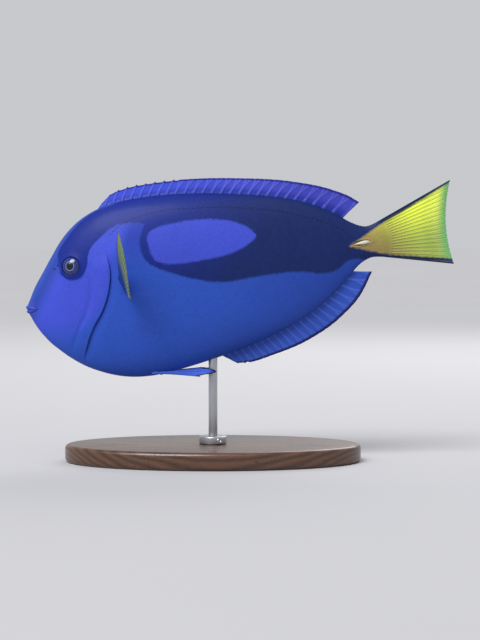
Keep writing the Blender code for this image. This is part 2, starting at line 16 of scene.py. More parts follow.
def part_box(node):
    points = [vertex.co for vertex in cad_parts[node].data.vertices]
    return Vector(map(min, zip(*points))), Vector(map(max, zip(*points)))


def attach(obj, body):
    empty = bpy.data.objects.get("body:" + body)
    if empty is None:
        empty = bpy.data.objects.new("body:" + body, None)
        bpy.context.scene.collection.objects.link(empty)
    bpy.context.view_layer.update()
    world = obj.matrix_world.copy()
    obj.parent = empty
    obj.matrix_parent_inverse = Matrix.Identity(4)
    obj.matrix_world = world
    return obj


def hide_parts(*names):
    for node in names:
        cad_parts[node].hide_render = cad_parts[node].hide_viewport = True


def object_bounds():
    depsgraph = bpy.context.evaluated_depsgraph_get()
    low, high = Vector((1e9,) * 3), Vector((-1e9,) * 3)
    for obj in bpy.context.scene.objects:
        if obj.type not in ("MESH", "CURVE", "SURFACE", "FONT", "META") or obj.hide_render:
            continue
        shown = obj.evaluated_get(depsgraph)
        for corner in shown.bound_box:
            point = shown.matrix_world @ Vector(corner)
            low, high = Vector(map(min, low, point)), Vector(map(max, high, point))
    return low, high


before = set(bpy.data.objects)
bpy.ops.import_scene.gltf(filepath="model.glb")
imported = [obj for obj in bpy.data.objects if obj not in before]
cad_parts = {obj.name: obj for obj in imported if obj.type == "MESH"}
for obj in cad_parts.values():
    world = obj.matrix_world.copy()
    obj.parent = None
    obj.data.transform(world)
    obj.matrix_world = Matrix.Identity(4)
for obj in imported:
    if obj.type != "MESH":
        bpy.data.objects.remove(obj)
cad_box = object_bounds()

print("solids:", ", ".join(sorted(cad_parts)))

# %% [markdown]
# The outline of the body is a handful of places along the back and the belly, with its thickness at a
# few more, and a smooth curve runs through each set of points. It is worked out for a whole row of
# places at once, because the skin will have nearly a hundred thousand of them.

# %% Smooth curves through a few places
def curve(points, scale=1.0):
    """A smooth function through a few points, its slope at each taken from both neighbours."""
    xs, ys = np.array(points).T * np.array([[scale], [scale]])
    spans = np.diff(xs)
    grades = np.diff(ys) / spans
    inner = (grades[:-1] * spans[1:] + grades[1:] * spans[:-1]) / (spans[1:] + spans[:-1])
    slopes = np.concatenate(([grades[0]], inner, [grades[-1]]))

    def value(x):
        i = np.clip(np.searchsorted(xs, x, side="right") - 1, 0, len(spans) - 1)
        t = np.clip((x - xs[i]) / spans[i], 0, 1)
        start = ys[i] * (1 + 2 * t) * (1 - t) ** 2 + slopes[i] * spans[i] * t * (1 - t) ** 2
        end = ys[i + 1] * t * t * (3 - 2 * t) + slopes[i + 1] * spans[i] * t * t * (t - 1)
        return start + end

    return value


def ease(t):
    """A smooth step from 0 to 1."""
    t = np.clip(t, 0, 1)
    return t * t * (3 - 2 * t)


def blend(a, b, t):
    """Part of the way from a to b."""
    return a + (b - a) * t


hill = curve([(0, 0), (1, 1), (2, 0)])
print(f"a hill over three places is {float(hill(0.5)):.2f} high a quarter of the way along")

# %% [markdown]
# Every outline is given in shares of one length, 220 mm with the tail. The fish lies level here: X runs
# from its snout to its tail, Z is up, and its left flank looks to -Y. The back and the belly follow the
# photo, and the thickness is what the species has.

# %% The outlines, as shares of the length
MM = 0.001
LENGTH = 0.220
TOP = [
    (0.006, -0.005), (0.014, 0.007), (0.026, 0.026), (0.057, 0.065), (0.080, 0.093), (0.110, 0.127),
    (0.146, 0.156), (0.190, 0.177), (0.240, 0.187), (0.300, 0.189), (0.370, 0.184), (0.450, 0.172),
    (0.540, 0.152), (0.620, 0.130), (0.690, 0.101), (0.740, 0.069), (0.775, 0.041), (0.800, 0.029),
    (0.832, 0.034),
]
BOTTOM = [
    (0.006, -0.026), (0.016, -0.054), (0.034, -0.088), (0.062, -0.123), (0.100, -0.159), (0.150, -0.190),
    (0.200, -0.209), (0.250, -0.217), (0.310, -0.216), (0.370, -0.210), (0.440, -0.200), (0.530, -0.182),
    (0.620, -0.153), (0.690, -0.117), (0.740, -0.080), (0.775, -0.053), (0.800, -0.044), (0.832, -0.048),
]
HALF_WIDTH = [
    (0.006, 0.010), (0.020, 0.019), (0.040, 0.0265), (0.074, 0.036), (0.110, 0.045), (0.150, 0.054),
    (0.200, 0.062), (0.280, 0.067), (0.360, 0.066), (0.450, 0.060), (0.550, 0.050), (0.650, 0.037),
    (0.720, 0.027), (0.775, 0.018), (0.832, 0.012),
]
WIDEST = [(0.006, -0.015), (0.060, -0.004), (0.200, 0.008), (0.400, 0.000), (0.832, -0.007)]
GILL_EDGE = [
    (-1.0, 0.107), (-0.7, 0.124), (-0.45, 0.148), (-0.25, 0.178), (-0.05, 0.200), (0.12, 0.209),
    (0.30, 0.210), (0.60, 0.202), (1.0, 0.190),
]
TAIL_X = 0.832 * LENGTH

top_of = curve(TOP, LENGTH)
bottom_of = curve(BOTTOM, LENGTH)
half_width_of = curve(HALF_WIDTH, LENGTH)
widest_of = curve(WIDEST, LENGTH)
gill_edge_of = curve([(level, x * LENGTH) for level, x in GILL_EDGE])
depth = float(top_of(0.25 * LENGTH) - bottom_of(0.25 * LENGTH))
print(f"the body is {depth / MM:.0f} mm deep and {2 * half_width_of(0.28 * LENGTH) / MM:.0f} mm thick")

# %% [markdown]
# Cut across, the body is a lens, fuller below its widest level than above, with a narrow flat along the
# back and the belly for the fins to stand on. One formula gives any point of that section. The eyes,
# fins and tail spines find their places on the flank with the same formula, so they always fit it.

# %% The section of the body
LAND = 1.2 * MM
LAND_SHARE = 0.32
BACK_FULLNESS = 1.2
BELLY_FULLNESS = 1.0


def land_of(x):
    """Half of the narrow flat along the back and the belly that the fins stand on."""
    return np.minimum(LAND, LAND_SHARE * half_width_of(x))


def section(x, angle):
    """Half thickness and height of the skin, at an angle from the widest level of the flank."""
    level = np.sin(angle)
    middle = widest_of(x)
    edge = np.where(level > 0, top_of(x), bottom_of(x))
    fullness = np.where(level > 0, BACK_FULLNESS, BELLY_FULLNESS)
    land = land_of(x)
    across = land + (half_width_of(x) - land) * np.clip(np.cos(angle), 0, 1) ** fullness
    return across, middle + (edge - middle) * np.abs(level)


def flank_y(x, z):
    """Half thickness of the body at a place on its side."""
    middle = widest_of(x)
    edge = np.where(z > middle, top_of(x), bottom_of(x))
    angle = np.arcsin(np.clip((z - middle) / (edge - middle), 0, 1))
    return section(x, np.where(z > middle, angle, -angle))[0]


def flank(x, z):
    """A place on the left flank."""
    return Vector((x, -float(flank_y(x, z)), z))


def flank_normal(x, z):
    """Outward direction of the left flank."""
    step = 0.5 * MM
    lengthways = flank(x + step, z) - flank(x - step, z)
    upwards = flank(x, z + step) - flank(x, z - step)
    return lengthways.cross(upwards).normalized()


bulge = float(flank_y(0.28 * LENGTH, 0.05 * LENGTH))
print(f"a little above the middle the flank is {bulge / MM:.1f} mm from the middle plane")

# %% [markdown]
# The model swims nose down. Every piece is made level, which keeps the numbers readable, and one matrix
# tips them all once they are done. The rod of the stand says where the belly has to be.

# %% The pose
NOSE_DOWN = math.radians(10.7)
ROD_X = 0.401 * LENGTH
ROD_SUNK = 10 * MM

rod_low, rod_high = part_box("stand_rod")
tilt = Matrix.Rotation(-NOSE_DOWN, 4, "Y")
belly = tilt @ Vector((ROD_X, 0, float(bottom_of(ROD_X))))
rod_x = (rod_low.x + rod_high.x) / 2
POSE = Matrix.Translation((rod_x - belly.x, 0, rod_high.z - ROD_SUNK - belly.z)) @ tilt
print("the snout is at", [round(v / MM, 1) for v in POSE @ Vector((0, 0, 0))], "mm")

# %% [markdown]
# The skin is one closed surface from the line of the mouth to the root of the tail, without seams.
# It could be sculpted, or joined from lumps and remeshed. A loft is used here: rings of points round
# the body, each joined to the next, because it stays smooth between its details and every ring can
# be led along a real line of the fish. The first rings roll out of the mouth over the lips, the next
# ones turn slowly into the free edge of the gill cover, and a few go round that edge and under it,
# which makes a true slit. Only the left half is worked out, then mirrored.

# %% Rings over the lips
HALF_RING = 140
angles = np.pi * (np.arange(HALF_RING + 1) / HALF_RING - 0.5)
lift_of_level = np.abs(np.sin(angles))
side_of_level = np.cos(angles)

MOUTH_Z = -0.015 * LENGTH
LIP_FRONT = 1.0 * MM
LIP_DEPTH = 4.6 * MM
LIP_HALF_WIDTH = 4.1 * MM
MOUTH_DROOP = 0.9 * MM
LIP_HALF_HEIGHT = (0.45 * MM, 1.00 * MM)
LIP_SWELL = (0.35 * MM, 0.85 * MM)
LIP_ROWS = 14
LIP_ROLL = (-90, 84)
CORNER_BACK = 0.97
CORNER_OUT = 0.24


def unit(vectors):
    """The same directions, one long."""
    return vectors / np.linalg.norm(vectors, axis=-1, keepdims=True)


def along(x, y, z):
    """Rows of places from rows of their coordinates."""
    return np.stack(np.broadcast_arrays(x, y, z), axis=-1).astype(float)


mouth = along(
    LIP_FRONT + LIP_DEPTH * (1 - lift_of_level),
    -LIP_HALF_WIDTH * side_of_level,
    MOUTH_Z - MOUTH_DROOP * (1 - lift_of_level),
)
outward = unit(along(-LIP_HALF_WIDTH * lift_of_level, -LIP_DEPTH * side_of_level, 0))
at_corner = side_of_level ** 4
away = unit(along(CORNER_BACK * at_corner, -CORNER_OUT * at_corner, np.sin(angles)))
lip_height = blend(*LIP_HALF_HEIGHT, lift_of_level ** 0.5)[:, None]
lip_swell = blend(*LIP_SWELL, lift_of_level ** 0.5)[:, None]

lip_rings = []
for roll in np.radians(np.linspace(*LIP_ROLL, LIP_ROWS)):
    lip_rings.append(mouth + away * lip_height * (1 + np.sin(roll)) + outward * lip_swell * np.cos(roll))
print(f"the mouth is {2 * LIP_HALF_WIDTH / MM:.1f} mm wide, in {len(lip_rings)} rings")

# %% [markdown]
# Behind the lips a ring is known by its distance from the snout and its angle round the section.
# Both start where the lips end and drift to the gill edge. The cover swells a little
# towards its free edge, with a shallow groove across the cheek where the plate under it ends.

# %% Rings over the head
HEAD_ROWS = 130
HEAD_CROWDING = 1.2
BEHIND_LIPS = 0.5 * MM
TURN_SHARE = 0.35
COVER_LIFT = 0.6 * MM
COVER_START = 0.60
CHEEK_GROOVE = 0.40 * MM
CHEEK_END = 0.76
CHEEK_GROOVE_REACH = 0.045
COVER_LOW_END = -0.95
COVER_LOW_FADE = 0.30
COVER_HIGH_END = 0.42
COVER_HIGH_FADE = 0.20

level = np.sin(angles)
gill_x = gill_edge_of(level)
cover = ease((level - COVER_LOW_END) / COVER_LOW_FADE) * ease((COVER_HIGH_END - level) / COVER_HIGH_FADE)

edge_of_lips = lip_rings[-1]
start_x = edge_of_lips[:, 0] + BEHIND_LIPS
middle_at_start = widest_of(start_x)
rise_at_start = edge_of_lips[:, 2] - middle_at_start
reach_at_start = np.where(rise_at_start > 0, top_of(start_x), bottom_of(start_x)) - middle_at_start
share_up = rise_at_start / np.abs(reach_at_start)
share_out = -edge_of_lips[:, 1] / half_width_of(start_x)
start_angle = np.arctan2(share_up, share_out)


def skin_ring(x, angle, swell):
    """The left half of a ring, moved out of the plain section by a swell."""
    across, z = section(x, angle)
    return along(x, -(across + swell), z)


head_rings = []
for i in range(HEAD_ROWS + 1):
    share = (i / HEAD_ROWS) ** HEAD_CROWDING
    lift = COVER_LIFT * ease((share - COVER_START) / (1 - COVER_START))
    groove = CHEEK_GROOVE * math.exp(-(((share - CHEEK_END) / CHEEK_GROOVE_REACH) ** 2))
    head_rings.append(skin_ring(
        blend(start_x, gill_x, share),
        blend(start_angle, angles, ease(share / TURN_SHARE)),
        (lift - groove) * cover,
    ))
print(f"{len(head_rings)} rings over the head")

# %% [markdown]
# The free edge of the gill cover is a soft rim under a millimetre thick. These rings go round it, run
# forward under the cover and come out again on the shoulder, and where the slit closes at its two
# ends they lie so close together that nothing shows. The shoulder rises gently out of the slit.

# %% Rings round the gill slit and along the trunk
SLIT_STEPS = [
    (0.10, 0.50), (0.16, 0.30), (0.14, 0.08), (0.00, -0.12), (-0.60, -0.30), (-1.20, -0.50),
    (-1.25, -0.85), (-0.50, -0.90), (0.10, -0.80), (0.50, -0.68),
]
SLIT_CREEP = 0.02 * MM
SHOULDER_DIP = 0.6 * MM
SHOULDER_LENGTH = 5 * MM
SHOULDER_START = 0.75 * MM
TRUNK_ROWS = 100
TRUNK_CROWDING = 1.1

trunk_rings = []
for i, (back, out) in enumerate(SLIT_STEPS):
    x = gill_x + SLIT_CREEP * (i + 1) + back * MM * cover
    trunk_rings.append(skin_ring(x, angles, out * MM * cover))
trunk_start = gill_x + SLIT_CREEP * (len(SLIT_STEPS) + 1) + SHOULDER_START * cover
for i in range(TRUNK_ROWS + 1):
    x = blend(trunk_start, TAIL_X, (i / TRUNK_ROWS) ** TRUNK_CROWDING)
    dip = SHOULDER_DIP * cover * (1 - ease((x - trunk_start) / SHOULDER_LENGTH))
    trunk_rings.append(skin_ring(x, angles, -dip))
print(f"{len(trunk_rings)} rings from the gill slit to the tail")

# %% [markdown]
# On the real fish the flesh doesn't stop at the tail's root. It runs out over the feet of the rays in
# a thin wedge. The last rings do that: they fan out with the tail and thin away into its blade.

# %% Rings that run out over the tail
TAIL_TOP_TIP = (1.013 * LENGTH, 0.098 * LENGTH)
TAIL_BOTTOM_TIP = (0.987 * LENGTH, -0.094 * LENGTH)
RUN_OUT = 0.040 * LENGTH
RUN_OUT_ROWS = 14
RUN_OUT_AT_EDGES = 0.55
RUN_OUT_TAPER = 1.6
RUN_OUT_LEAST = 0.05 * MM

across_at_tail, height_at_tail = section(np.full_like(angles, TAIL_X), angles)
low, high = float(bottom_of(TAIL_X)), float(top_of(TAIL_X))
place_at_tail = (height_at_tail - low) / (high - low)
tip_x = blend(TAIL_BOTTOM_TIP[0], TAIL_TOP_TIP[0], place_at_tail)
tip_z = blend(TAIL_BOTTOM_TIP[1], TAIL_TOP_TIP[1], place_at_tail)
middle_bulge = 1 - (2 * place_at_tail - 1) ** 2

run_out_rings = []
for i in range(1, RUN_OUT_ROWS + 1):
    out = i / RUN_OUT_ROWS
    reach = RUN_OUT * out * blend(RUN_OUT_AT_EDGES, 1, middle_bulge) / (tip_x - TAIL_X)
    x = blend(TAIL_X, tip_x, reach)
    z = blend(height_at_tail, tip_z, reach)
    run_out_rings.append(along(x, -across_at_tail * (1 - out) ** RUN_OUT_TAPER - RUN_OUT_LEAST, z))
print(f"the flesh runs {RUN_OUT / MM:.1f} mm out over the middle of the tail")

# %% [markdown]
# The rings are now joined with faces. The same helper serves every lofted piece: it takes rings of
# equally many points, closes each into a loop, and closes both ends with a strip from one side of the
# ring to the other. Only the skin's first ring has no strip, as it lies folded flat where the lips meet
# and closes by itself. A pair of numbers can go with each point, which a material reads as a UV map.

# %% Join the rings
MERGE = 0.0001 * MM

parts = bpy.data.collections.new("regal_blue_tang")
bpy.context.scene.collection.children.link(parts)


def loft(name, rings, matrix=POSE, uv=None, capped=(0, -1)):
    """One closed, smooth mesh object through rings of points, with a strip over each capped ring."""
    rows, columns = rings.shape[:2]
    first = np.arange(rows - 1)[:, None] * columns
    j = np.arange(columns)[None, :]
    k = (j + 1) % columns
    faces = np.stack([first + j, first + k, first + columns + k, first + columns + j], axis=-1)
    faces = faces.reshape(-1, 4).tolist()
    for ring in capped:
        start = ring % rows * columns
        for n in range(columns // 2 - 1):
            faces.append([start + n, start + n + 1, start + columns - 2 - n, start + columns - 1 - n])
    mesh = bpy.data.meshes.new(name)
    mesh.from_pydata(rings.reshape(-1, 3).tolist(), [], faces)
    if uv is not None:
        layer = mesh.uv_layers.new(name="fin")
        corners = np.empty(len(mesh.loops), np.int32)
        mesh.loops.foreach_get("vertex_index", corners)
        layer.data.foreach_set("uv", uv.reshape(-1, 2)[corners].astype(np.float32).ravel())
    bm = bmesh.new()
    bm.from_mesh(mesh)
    bmesh.ops.remove_doubles(bm, verts=bm.verts, dist=MERGE)
    bmesh.ops.recalc_face_normals(bm, faces=bm.faces)
    bm.to_mesh(mesh)
    bm.free()
    mesh.shade_smooth()
    piece = bpy.data.objects.new(name, mesh)
    piece.matrix_world = matrix
    parts.objects.link(piece)
    return piece


left = np.array(lip_rings + head_rings + trunk_rings + run_out_rings)
on_middle = np.array([1, 0, 1])
left = np.concatenate([left[:, :1] * on_middle, left, left[:, -1:] * on_middle], axis=1)
right = left[:, -2:0:-1] * np.array([1, -1, 1])
skin = loft("skin", np.concatenate([left, right], axis=1), capped=(-1,))
print(f"the skin has {len(skin.data.polygons)} faces")

# %% [markdown]
# Eyes, nostrils and the sheaths of the tail spines are small places on the flank. Cut out with other
# shapes, they would get hard, ragged edges. Here the skin will be pushed in or out by a few smooth
# profiles, each a function of the distance from the middle of its place: a pit has an edge, a depth
# and a slope, and a rim has a place, a rise and a width.

# %% Sockets, nostrils and sheaths
EYE_X, EYE_Z = 0.124 * LENGTH, 0.064 * LENGTH
EYE_RADIUS = 5.4 * MM
EYE_HALF_DEPTH = 3.2 * MM
EYE_SUNK = 1.6 * MM
EYE_SEEN = EYE_RADIUS * math.sqrt(1 - (EYE_SUNK / EYE_HALF_DEPTH) ** 2)
NOSTRILS = [(0.0850 * LENGTH, 0.065 * LENGTH, 0.42 * MM), (0.0945 * LENGTH, 0.072 * LENGTH, 0.36 * MM)]
SPINE_X, SPINE_Z = 0.785 * LENGTH, -0.007 * LENGTH
SHEATH_HALF_LENGTH = 4.7 * MM
SHEATH_HALF_HEIGHT = 1.45 * MM
EYE_PIT = (EYE_SEEN + 0.05 * MM, 2.6 * MM, 0.5 * MM)
EYE_RIM = (EYE_SEEN + 0.45 * MM, 0.22 * MM, 0.35 * MM)
EYE_SWELL = (EYE_SEEN, 0.30 * MM, 2.2 * MM)
NOSTRIL_PIT = (1.1 * MM, 0.18 * MM)
NOSTRIL_RIM = (0.20 * MM, 0.17 * MM)
NOSTRIL_RIM_OUT = 0.14 * MM
SHEATH_PIT = (1, 0.8 * MM, 0.35)
SHEATH_RIM = (1.15, 0.22 * MM, 0.16)


def from_place(points, x, z):
    """Distance of points from a place on either flank, along the skin."""
    folded = np.stack([points[:, 0], -np.abs(points[:, 1]), points[:, 2]], axis=-1)
    offset = folded - np.array(flank(x, z))
    normal = np.array(flank_normal(x, z))
    return np.linalg.norm(offset - (offset @ normal)[:, None] * normal, axis=1)


def pit(distance, edge, depth, slope):
    return -depth * ease((edge - distance) / slope)


def rim(distance, place, rise, width):
    return rise * np.exp(-(((distance - place) / width) ** 2))


def relief(points):
    """How far the skin stands out of its plain surface, in metres."""
    eye = from_place(points, EYE_X, EYE_Z)
    out = pit(eye, *EYE_PIT) + rim(eye, *EYE_RIM) + rim(eye, *EYE_SWELL) * (eye > EYE_SEEN)
    for x, z, radius in NOSTRILS:
        hole = from_place(points, x, z)
        out += pit(hole, radius, *NOSTRIL_PIT) + rim(hole, radius + NOSTRIL_RIM_OUT, *NOSTRIL_RIM)
    beside = np.hypot(
        (points[:, 0] - SPINE_X) / SHEATH_HALF_LENGTH, (points[:, 2] - SPINE_Z) / SHEATH_HALF_HEIGHT,
    )
    return out + pit(beside, *SHEATH_PIT) + rim(beside, *SHEATH_RIM)


middle_of_eye = np.array([flank(EYE_X, EYE_Z)])
print(f"the socket of the eye is {-relief(middle_of_eye)[0] / MM:.1f} mm deep")

# %% [markdown]
# The points of the skin lie between a third of a millimetre and a millimetre apart, too coarse for a
# nostril. So the mesh is made finer just at these places, and only then pushed in or out along its own
# normals. Each place has its middle, a reach, a half height and the number of cuts through every edge.

# %% Press the details into the skin
ROUND_EYE = 1.6 * MM
ROUND_NOSTRIL = 0.9 * MM
ROUND_SHEATH = 1.5 * MM
FINER_PLACES = [
    (EYE_X, EYE_Z, EYE_SEEN + ROUND_EYE, EYE_RADIUS * 2, 2),
    *[(x, z, radius + ROUND_NOSTRIL, radius + ROUND_NOSTRIL, 3) for x, z, radius in NOSTRILS],
    (SPINE_X, SPINE_Z, SHEATH_HALF_LENGTH + ROUND_SHEATH, 1.7 * SHEATH_HALF_HEIGHT, 2),
]


def refine(bm, x, z, reach, tall, cuts):
    """Cuts each edge near a place on both flanks so many times."""
    points = np.array([v.co for v in bm.verts])
    near = (from_place(points, x, z) < reach) & (np.abs(points[:, 2] - z) < tall)
    bm.edges.ensure_lookup_table()
    edges = [e for e in bm.edges if near[e.verts[0].index] and near[e.verts[1].index]]
    bmesh.ops.subdivide_edges(bm, edges=edges, cuts=cuts, use_grid_fill=True)
    bm.verts.index_update()


bm = bmesh.new()
bm.from_mesh(skin.data)
for place in FINER_PLACES:
    refine(bm, *place)
bm.normal_update()
points = np.array([v.co for v in bm.verts])
normals = np.array([v.normal for v in bm.verts])
points += normals * relief(points)[:, None]
for vert, place in zip(bm.verts, points):
    vert.co = place
bm.to_mesh(skin.data)
bm.free()
print(f"with its details it has {len(skin.data.polygons)} faces")

# %% [markdown]
# Each eye is a flattened ball, sunk into its socket so far that a shallow dome shows. It keeps a frame of
# its own, with Z looking straight out, so that its material can draw pupil and iris as plain rings.

# %% Eyes
def facing(x, z, sunk, side):
    """A frame on the left (-1) or right (1) flank, its Z looking out."""
    mirror = Vector((1, -side, 1))
    outwards = flank_normal(x, z) * mirror
    place = flank(x, z) * mirror
    turn = outwards.to_track_quat("Z", "Y").to_matrix().to_4x4()
    return Matrix.Translation(place - outwards * sunk) @ turn


def ball(across, up, deep, rings=48, columns=96):
    """Rings of points from one pole of a flattened ball to the other."""
    polar = np.pi * (np.arange(1, rings) / rings)[:, None]
    turn = 2 * np.pi * (np.arange(columns) / columns)[None, :]
    girth = np.sin(polar)
    return along(across * girth * np.cos(turn), up * girth * np.sin(turn), deep * np.cos(polar))


eyes = {}
for side, name in ((-1, "left"), (1, "right")):
    frame_of_eye = POSE @ facing(EYE_X, EYE_Z, EYE_SUNK, side)
    eyes[name] = loft(f"glass_eye_{name}", ball(EYE_RADIUS, EYE_RADIUS, EYE_HALF_DEPTH), frame_of_eye)
print(f"each eye shows {2 * EYE_SEEN / MM:.1f} mm across")

# %% [markdown]
# A fin is a thin skin stretched over bony rays. Stiff spines hold its front, and soft rays the rest, each
# soft ray splitting into two and then four towards the margin. One function says how far a place is up
# the ridge of a ray. The mesh will use it for the thickness, so the rays stand up from both faces, and
# the material will draw the same rays in colour.

# %% The ridge of a ray
FIRST_SPLIT = (0.38, 0.20)
SECOND_SPLIT = (0.68, 0.09)
RAY_WIDTH = (0.26, 0.075)
SPINE_WIDTH = (0.22, 0.10)


def ray_relief(place, v, spines):
    """1 on the crest of a ray and 0 on the membrane, at a place counted in rays."""
    nearest = np.round(place)
    soft = nearest >= spines
    split = FIRST_SPLIT[1] * ease((v - FIRST_SPLIT[0]) / (1 - FIRST_SPLIT[0])) * soft
    twig = SECOND_SPLIT[1] * ease((v - SECOND_SPLIT[0]) / (1 - SECOND_SPLIT[0])) * soft
    off = np.abs(np.abs(np.abs(place - nearest) - split) - twig)
    width = np.where(soft, blend(*RAY_WIDTH, v ** 0.6), blend(*SPINE_WIDTH, v))
    return np.clip(1 - (off / width) ** 2, 0, 1)


tips_of_a_ray = ray_relief(np.linspace(-0.5, 0.5, 401), 1.0, 0) > 0.9
print("a soft ray ends in", int(np.sum(np.diff(tips_of_a_ray.astype(int)) == 1)), "tips")

# %% [markdown]
# The blade of a fin could be a flat sheet with a Solidify modifier. A loft of very flat rings, each going
# along one face and back along the other, lets the thickness follow every ray instead. Spines stick out
# past the membrane a little, between rays the margin sags, and all edges are rounded.

# %% A blade with rays
COLUMNS_PER_RAY = 16
SPINE_OUT = 0.05
SPINE_DROP = 0.085
SPINE_HALF_TIP = 0.16
SAG_BETWEEN_SPINES = 0.015
SAG_BETWEEN_RAYS = 0.012
FLARE_HEIGHT = 1.6 * MM
MARGIN_ROUNDING = (0.03, 0.45)
EDGE_ROUNDING = (0.12, 0.40)


def rounded_off(distance, width, least):
    """A factor that falls to its least at an edge, as round edges do."""
    return blend(least, 1, np.clip(distance / width, 0, 1) ** 0.5)


def fin(name, rays, spines, root, tip, bend, membrane, ridge, flare, rows=44):
    """A blade from root points to tip points, both given for places along the fin from 0 to 1.

    Half the membrane and the height of a ridge are pairs, at the root and at the margin.
    """
    u = np.linspace(0, 1, (rays - 1) * COLUMNS_PER_RAY + 1)
    v = np.linspace(0, 1, rows)[:, None]
    place = u * (rays - 1)
    crest = ray_relief(place[None, :], v, spines)
    off = np.abs(place - np.round(place))
    spiny = np.round(place) < spines
    spike = SPINE_OUT - SPINE_DROP * np.clip(off / SPINE_HALF_TIP, 0, 1) ** 0.7
    spike = spike - SAG_BETWEEN_SPINES * (1 - (1 - 2 * off) ** 2)
    reach = 1 + np.where(spiny, spike, -SAG_BETWEEN_RAYS * (1 - crest[-1]))
    foot, end = root(u)[None], tip(u)[None]
    middle = blend(foot, foot + (end - foot) * reach[None, :, None], v[..., None])
    middle = middle + bend(u[None, :], v)
    out = np.gradient(middle, axis=0)
    sideways = np.gradient(middle, axis=1)
    normal = unit(np.cross(out, sideways))
    height = np.linalg.norm(middle - middle[:1], axis=-1)
    half = blend(*membrane, v) + blend(*ridge, v) * crest + rim(height, 0, flare, FLARE_HEIGHT)
    half = half * rounded_off(1 - v, *MARGIN_ROUNDING)
    half = half * rounded_off(np.minimum(u, 1 - u) * (rays - 1), *EDGE_ROUNDING)
    faces = [middle + normal * half[..., None], (middle - normal * half[..., None])[:, ::-1]]
    uv = np.stack(np.broadcast_arrays(u[None, :], v), axis=-1)
    blade = loft(name, np.concatenate(faces, axis=1), uv=np.concatenate([uv, uv[:, ::-1]], axis=1))
    print(f"{name}: {spines} spines and {rays - spines} soft rays, {len(blade.data.polygons)} faces")
    return blade


# %% [markdown]
# The dorsal fin runs along nearly the whole back with nine spines and nineteen soft rays, the anal fin
# under the rear half with three spines. Their feet are sunk a little into the body, where the blade
# flares as the real one does. A slight wave in the soft part keeps the blades from looking like card,
# while the first spine stays straight.

# %% Dorsal and anal fins
DORSAL_MARGIN = [
    (0.217, 0.193), (0.240, 0.209), (0.275, 0.217), (0.330, 0.218), (0.443, 0.208), (0.528, 0.193),
    (0.653, 0.162), (0.743, 0.125), (0.780, 0.102), (0.798, 0.086),
]
ANAL_MARGIN = [
    (0.438, -0.213), (0.452, -0.2245), (0.478, -0.2290), (0.540, -0.2225), (0.631, -0.202),
    (0.708, -0.166), (0.769, -0.116), (0.798, -0.076),
]
DORSAL_RAYS = (28, 9)
DORSAL_FOOT = (0.200, 0.752)
ANAL_RAYS = (22, 3)
ANAL_FOOT = (0.420, 0.752)
MEMBRANE = (0.38 * MM, 0.14 * MM)
RIDGE = (0.42 * MM, 0.16 * MM)
FLARE = 0.9 * MM
ROOT_SUNK = 0.8 * MM
LEAN = 0.7 * MM
DORSAL_WAVE = 0.8 * MM
ANAL_WAVE = 0.7 * MM
WAVE_START = 0.3
WAVE_ALONG = 11
WAVE_OUT = 1.2


def upright(name, rays, ends, base, margin, wave):
    """A fin that stands on the back or hangs from the belly."""
    edge = curve(margin, LENGTH)
    inward = -1 if base is top_of else 1

    def root(u):
        x = blend(*ends, u) * LENGTH
        return along(x, 0, base(x) + inward * ROOT_SUNK)

    def tip(u):
        x = blend(margin[0][0], margin[-1][0], u) * LENGTH
        return along(x, 0, edge(x))

    def bend(u, v):
        lean = LEAN * v * (1 - v) * (u > 0)
        swell = ease((u - WAVE_START) / WAVE_START)
        sway = wave * v ** 1.5 * swell * np.sin(WAVE_ALONG * u + WAVE_OUT * v)
        return along(-lean, sway, 0 * u)

    return fin(name, *rays, root, tip, bend, MEMBRANE, RIDGE, FLARE)


dorsal = upright("dorsal_blade", DORSAL_RAYS, DORSAL_FOOT, top_of, DORSAL_MARGIN, DORSAL_WAVE)
anal = upright("anal_blade", ANAL_RAYS, ANAL_FOOT, bottom_of, ANAL_MARGIN, ANAL_WAVE)

# %% [markdown]
# The tail is a fan of eighteen rays, cut off nearly straight behind with both corners drawn out a
# little. It starts inside the wedge of flesh that the skin runs out into.

# %% Tail fin
TAIL_RAYS = (18, 0)
TAIL_NOTCH = 0.014 * LENGTH
TAIL_SUNK = 1.5 * MM
TAIL_INSET = 0.3 * MM
TAIL_MEMBRANE = (0.55 * MM, 0.15 * MM)
TAIL_RIDGE = (0.45 * MM, 0.16 * MM)
TAIL_SWAY = 1.2 * MM
TAIL_SWAY_TURN = (0.4, 2.8)


def tail_root(u):
    return along(TAIL_X - TAIL_SUNK, 0, blend(low + TAIL_INSET, high - TAIL_INSET, u))


def tail_tip(u):
    notch = TAIL_NOTCH * (1 - (2 * u - 1) ** 2)
    return along(
        blend(TAIL_BOTTOM_TIP[0], TAIL_TOP_TIP[0], u) - notch, 0,
        blend(TAIL_BOTTOM_TIP[1], TAIL_TOP_TIP[1], u),
    )


def tail_bend(u, v):
    return along(0 * u * v, TAIL_SWAY * v ** 2 * np.sin(blend(*TAIL_SWAY_TURN, u)), 0)


tail = fin("tail_blade", *TAIL_RAYS, tail_root, tail_tip, tail_bend, TAIL_MEMBRANE, TAIL_RIDGE, 0, rows=64)

# %% [markdown]
# The pectoral fins do the swimming. Each is a fan held straight out from the flank, its blade across
# the body, so from the side it is only a streak. Its front rays are the longest and point up and out,
# the last one a little down. The left fin is made here.

